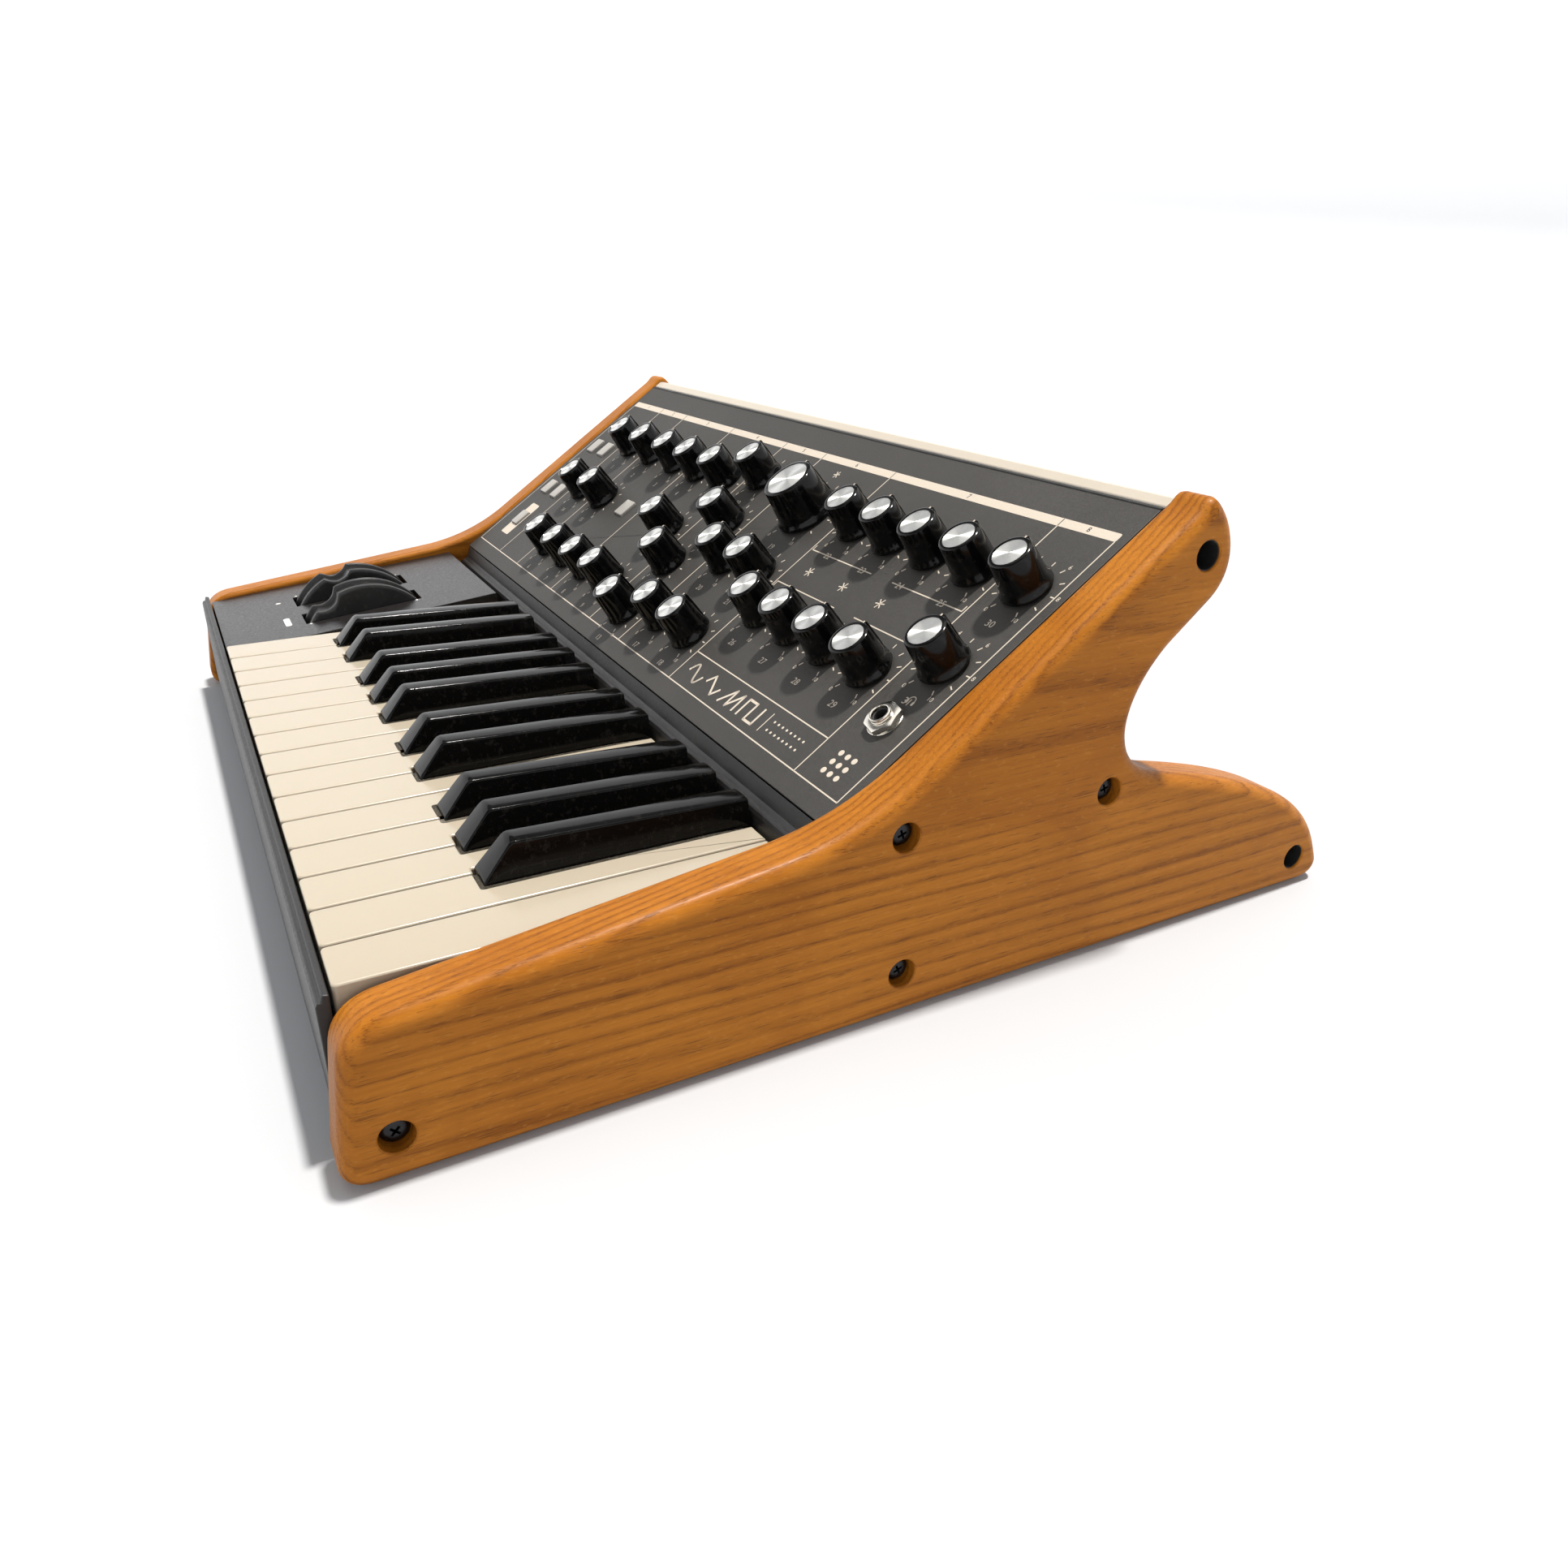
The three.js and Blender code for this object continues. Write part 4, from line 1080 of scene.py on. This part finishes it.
def power_inlet(wall):
    width, height, rim = INLET["half_width"], INLET["half_height"], INLET["wall"]
    outer = rectangle(-width, -height, width, height, 2.0)
    inner = [(x * (width - rim) / width, y * (height - rim) / height) for x, y in outer]
    depth = INLET["depth"]
    levels = [(outer, -depth - 6), (outer, 0.4), (outer, 0.8), (inner, 0.8), (inner, -depth)]
    frame_shape = loft([[(x, y, h) for x, y in ring] for ring, h in levels])
    spots = ((-5, 1), (5, 1), (0, -4))
    pins = [block((x - 1, y - 2, -depth), (x + 1, y + 2, -4), 0.3, 0.3) for x, y in spots]
    layers = [(frame_shape, CONNECTOR_BLACK), (join_shapes(*pins), NICKEL)]
    piece("power_inlet", layers, at=facing_back(INLET["x"], INLET["z"], wall), slot="connector_plastic")


# ---- Print on the panel ----

INK_BOTTOM, INK_TOP = -0.03, 0.045
PRINT_LEFT, PRINT_RIGHT, PRINT_BOTTOM = -112.0, 348.9, 9.3
STRIP_BOTTOM, STRIP_TOP = 145.8, 150.0
SEPARATORS = (-68, -30.7, 35.7, 99.7, 141, 203.5, 318.3)
NAME_BOX_TOP = 26.7
FILTER_LINE, AMPLIFIER_LINE = 96.3, 74.8
HOOK = 2.8
LINE_WIDTH = 0.55
DIGIT_SHAPES = {}


def ink_polygon(points):
    outline = points if signed_area(points) > 0 else points[::-1]
    return plate(outline, INK_BOTTOM, INK_TOP)


def signed_area(points):
    return sum(a[0] * b[1] - b[0] * a[1] for a, b in zip(points, points[1:] + points[:1])) / 2


def stroke(points, width):
    """A printed line of even width through the points."""
    line = [Vector(p) for p in points]
    shapes = []
    for a, b in zip(line, line[1:]):
        along = (b - a).normalized()
        side = Vector((-along.y, along.x)) * width / 2
        reach = along * width / 2 * 0.5
        start, end = a - reach, b + reach
        corners = (start - side, end - side, end + side, start + side)
        shapes.append(ink_polygon([tuple(p) for p in corners]))
    return join_shapes(*shapes)


def number_print(text, size, x, y):
    """A number in the built-in font, centred on (x, y)."""
    if text not in DIGIT_SHAPES:
        curve = bpy.data.curves.new("digits", "FONT")
        curve.body = text
        curve.align_x, curve.align_y = "CENTER", "CENTER"
        curve.extrude = 0.5
        curve.resolution_u = 3
        temporary = linked("digits", curve)
        bpy.context.view_layer.update()
        mesh = temporary.to_mesh()
        faces = [list(p.vertices) for p in mesh.polygons]
        DIGIT_SHAPES[text] = [tuple(v.co) for v in mesh.vertices], faces
        temporary.to_mesh_clear()
        bpy.data.objects.remove(temporary)
    vertices, faces = DIGIT_SHAPES[text]
    middle, thickness = (INK_TOP + INK_BOTTOM) / 2, INK_TOP - INK_BOTTOM
    return [(x + a * size, y + b * size, middle + c * thickness) for a, b, c in vertices], faces


def dial(x, y, reach, numbers=("0", "10")):
    """Eleven ticks over 300 degrees and a number at the ends, or at every second tick."""
    centre, shapes = Vector((x, y)), []
    for k in range(11):
        angle = math.radians(-150 + 30 * k)
        spot = Vector((math.sin(angle), math.cos(angle)))
        shapes.append(stroke([centre + spot * (reach + 0.9), centre + spot * (reach + 2.7)], LINE_WIDTH))
    away = reach + 4.8
    for k, text in enumerate(numbers):
        angle = math.radians(-150 + 300 * k / (len(numbers) - 1))
        shapes.append(number_print(text, 2.9, x + math.sin(angle) * away, y + math.cos(angle) * away))
    return join_shapes(*shapes)


def star(x, y, reach):
    shapes = []
    for k in range(3):
        angle = math.radians(60 * k + 10)
        arm = Vector((math.cos(angle), math.sin(angle))) * reach
        shapes.append(stroke([Vector((x, y)) - arm, Vector((x, y)) + arm], LINE_WIDTH))
    return join_shapes(*shapes)


def waveforms(x, y, width, height, gap, line):
    """Sine, triangle, saw and square waves in a row."""
    waves = [
        [(k / 24, math.sin(2 * math.pi * k / 24)) for k in range(25)],
        [(0, 0), (0.25, 1), (0.75, -1), (1, 0)],
        [(0, -1), (0.5, 1), (0.5, -1), (1, 1), (1, -1)],
        [(0, -1), (0, 1), (0.5, 1), (0.5, -1), (1, -1), (1, 1)],
    ]
    shapes = []
    for number, wave in enumerate(waves):
        left = x + number * (width + gap)
        shapes.append(stroke([(left + a * width, y + b * height / 2) for a, b in wave], line))
    return join_shapes(*shapes)


def bracket(y, hook):
    """A line between two separators, left open in the middle, with short turned ends."""
    left, right = SEPARATORS[5] + 1.4, SEPARATORS[6] - 1.4
    gap_left, gap_right = 254, 270
    return join_shapes(
        stroke([(left, y + hook), (left, y), (gap_left, y)], LINE_WIDTH),
        stroke([(gap_right, y), (right, y), (right, y + hook)], LINE_WIDTH),
    )


def panel_lines():
    left, right, bottom = PRINT_LEFT, PRINT_RIGHT, PRINT_BOTTOM
    border = [(left, STRIP_BOTTOM), (left, bottom), (right, bottom), (right, STRIP_BOTTOM)]
    lines = [stroke(border, LINE_WIDTH)]
    lines.append(ink_polygon(rectangle(left - 0.3, STRIP_BOTTOM, right + 0.3, STRIP_TOP, 1.2, 4)))
    lines += [stroke([(x, bottom), (x, STRIP_BOTTOM)], LINE_WIDTH) for x in SEPARATORS]
    lines.append(stroke([(SEPARATORS[5], NAME_BOX_TOP), (SEPARATORS[6], NAME_BOX_TOP)], LINE_WIDTH))
    lines += [bracket(FILTER_LINE, HOOK), bracket(AMPLIFIER_LINE, -HOOK)]
    piece("panel_print_lines", [(join_shapes(*lines), INK)], at=SLOPE, slot="cream_trim", sharp=60)


def numbered_dial(number, x, y, size, numbers=("0", "10")):
    """A knob's dial, with the knob's own number below it."""
    reach = size["skirt"] + 1.2
    return join_shapes(dial(x, y, reach, numbers), number_print(str(number), 4.5, x, y - reach - 7.6))


def panel_marks():
    marks = [numbered_dial(number + 1, x, y, SMALL) for number, (x, y) in enumerate(FIXED_KNOBS)]
    for number, node in enumerate(MOVING_KNOBS, len(FIXED_KNOBS) + 1):
        spot = SLOPE.inverted() @ Vector(JOINTS[node]["pos_m"])
        large = node == "cutoff_knob"
        roomy = large or "volume" in node
        numbers = ("0", "2", "4", "6", "8", "10") if roomy else ("0", "10")
        marks.append(numbered_dial(number, spot.x, spot.y, LARGE if large else SMALL, numbers))
    marks += [star(x, 85.3, 2.6) for x in (217.9, 246.6, 275.3)]
    marks.append(star(165.3, 139.3, 2.2))
    marks.append(waveforms(211, 18, 13, 8.4, 4.4, 1.15))
    marks.append(stroke([(282.5, 13.4), (282.5, 22.8)], 0.5))
    dots = [(334.5 + 4.4 * a, 20.5 + 4.4 * b) for a in (-1, 0, 1) for b in (-1, 0, 1)]
    dots += [(287 + 3.2 * a, 18 + 2.2 * b) for a in range(8) for b in (-1, 1)]
    for number, (x, y) in enumerate(dots):
        radius = 1.3 if number < 9 else 0.6
        marks.append(moved(lathe([(radius, INK_BOTTOM), (radius, INK_TOP)], 20), x, y))
    marks.append(headphone_symbol(JACK[0] + 1.5, JACK[1] + 11.5))
    piece("panel_print_marks", [(join_shapes(*marks), INK)], at=SLOPE, slot="cream_trim", sharp=60)


def strip_marks():
    """Section numbers and dividers in dark ink on the cream strip."""
    edges = [PRINT_LEFT, *SEPARATORS, PRINT_RIGHT]
    middle = (STRIP_BOTTOM + STRIP_TOP) / 2
    marks = []
    for number, (a, b) in enumerate(zip(edges, edges[1:])):
        marks.append(moved(number_print(str(number + 1), 3.4, (a + b) / 2, middle), 0, 0, 0.05))
    for x in SEPARATORS:
        marks.append(moved(stroke([(x, STRIP_BOTTOM + 0.3), (x, STRIP_TOP - 0.3)], 0.4), 0, 0, 0.04))
    piece("panel_print_numbers", [(join_shapes(*marks), DARK_INK)], at=SLOPE, slot="panel_paint", sharp=60)


def headphone_symbol(x, y):
    angles = np.linspace(0.05, math.pi - 0.05, 12)
    band = [(x + 1.7 * math.cos(a), y + 0.2 + 1.9 * math.sin(a)) for a in angles]
    cups = [rectangle(x + s * 1.7 - 0.5, y - 1.6, x + s * 1.7 + 0.5, y + 0.2, 0.3, 2) for s in (-1, 1)]
    return join_shapes(stroke(band, 0.4), *[ink_polygon(cup) for cup in cups])


def switch_frame():
    """Printed frame round the arpeggio switch."""
    outer = ink_polygon(rectangle(-95.8, 20.8, -82.6, 48.8, 1.6, 4))
    hole = ink_polygon(rectangle(-94.6, 29.4, -83.8, 41.4, 0.2, 2))
    made = piece("panel_print_frame", [(outer, INK)], at=SLOPE, slot="cream_trim", sharp=60)
    deep = [(x, y, z * 12) for x, y, z in hole[0]], hole[1]
    cut_with(made, deep, at=SLOPE)


# ---- Stage, lights and camera ----

CAMERA_PLACE = (648.9, -16.1, 186.7)
CAMERA_AZIMUTH, CAMERA_ELEVATION, CAMERA_ROLL = 61.541, 24.601, 0.376
CAMERA_LENS = 26.24


def camera():
    data = bpy.data.cameras.new("camera")
    data.lens = CAMERA_LENS
    data.sensor_width = 36
    data.clip_start, data.clip_end = 0.01, 50
    made = linked("camera", data)
    turn = spin(math.radians(CAMERA_AZIMUTH), "Z")
    turn = turn @ spin(math.radians(90 - CAMERA_ELEVATION), "X")
    turn = turn @ spin(math.radians(CAMERA_ROLL), "Z")
    made.matrix_world = Matrix.Translation(DECK @ Vector(CAMERA_PLACE)) @ turn
    bpy.context.scene.camera = made


def light(name, kind, energy, color, direction, place=(0, 0, 0)):
    data = bpy.data.lights.new(name, kind)
    data.energy = energy
    data.color = color
    made = linked(name, data)
    made.location = place
    made.rotation_mode = "QUATERNION"
    made.rotation_quaternion = Vector(direction).to_track_quat("-Z", "Y")
    return data


# In metres
FLOOR_RADIUS, COVE_RADIUS, WALL_HEIGHT = 3.2, 1.3, 2.9
FLOOR_COLOR = (0.45, 0.45 * 1.02, 0.45 * 1.06)
RIM_GLOW, WALL_GLOW = 0.42, 0.45


def paper():
    """Pale paper that glows towards its rim and up the wall, so that it stays even."""
    sheet = Finish("studio_paper", FLOOR_COLOR, 0.85, Specular_IOR_Level=0.1)
    coordinates = sheet.node("ShaderNodeTexCoord", output="Object")
    x, y, z = sheet.node("ShaderNodeSeparateXYZ", {0: coordinates}).node.outputs
    across = sheet.math("ADD", sheet.math("POWER", x, 2.0), sheet.math("POWER", y, 2.0))
    distance = sheet.math("POWER", across, 0.5)
    glow = sheet.spread(distance, 0.5, FLOOR_RADIUS, 0.0, RIM_GLOW)
    rising = sheet.spread(z, 0.0, 1.0, 0.0, WALL_GLOW)
    sheet.set("Emission Color", (1, 1, 1))
    sheet.set("Emission Strength", sheet.math("ADD", glow, rising))
    return sheet.material


def backdrop():
    """A round floor that curves up into a wall on all sides."""
    profile = [(radius, 0.0) for radius in (0.02, 0.5, 1.2, 2.2)]
    for angle in np.linspace(0, math.pi / 2, 14):
        rise = COVE_RADIUS * (1 - math.cos(angle))
        profile.append((FLOOR_RADIUS + COVE_RADIUS * math.sin(angle), rise))
    profile.append((FLOOR_RADIUS + COVE_RADIUS, WALL_HEIGHT))
    vertices, faces = lathe(profile, 96)
    without_lid = vertices, faces[:-1]
    linked("studio_floor", make_mesh("studio_floor", [(without_lid, paper())], Matrix(), 60))


def stage():
    backdrop()
    scene = bpy.context.scene
    scene.world = bpy.data.worlds.new("studio")
    scene.world.use_nodes = True
    background = scene.world.node_tree.nodes["Background"]
    background.inputs["Strength"].default_value = 0.22
    background.inputs["Color"].default_value = (0.92, 0.96, 1, 1)
    sun = light("key_light", "SUN", 5.2, (1.0, 0.97, 0.92), (0.02, -0.2, -1))
    sun.angle = math.radians(4)
    top = light("top_light", "AREA", 13.5, (1.0, 0.98, 0.95), (0.2, -0.1, -1.9), (-0.2, 0.1, 1.9))
    top.shape = "RECTANGLE"
    top.size, top.size_y = 2.2, 1.6
    scene.view_settings.view_transform = "Standard"
    scene.view_settings.look = "None"


camera()
stage()
cheeks()
chassis()
keyboard()
performance_wheel("pitch_wheel", math.radians(-15), 0.0)
performance_wheel("mod_wheel", math.radians(-36), math.radians(-35))
wheel_marks()
knobs()
pot_board()
switches()
headphone_jack()
rear_connectors()
panel_lines()
panel_marks()
strip_marks()
switch_frame()
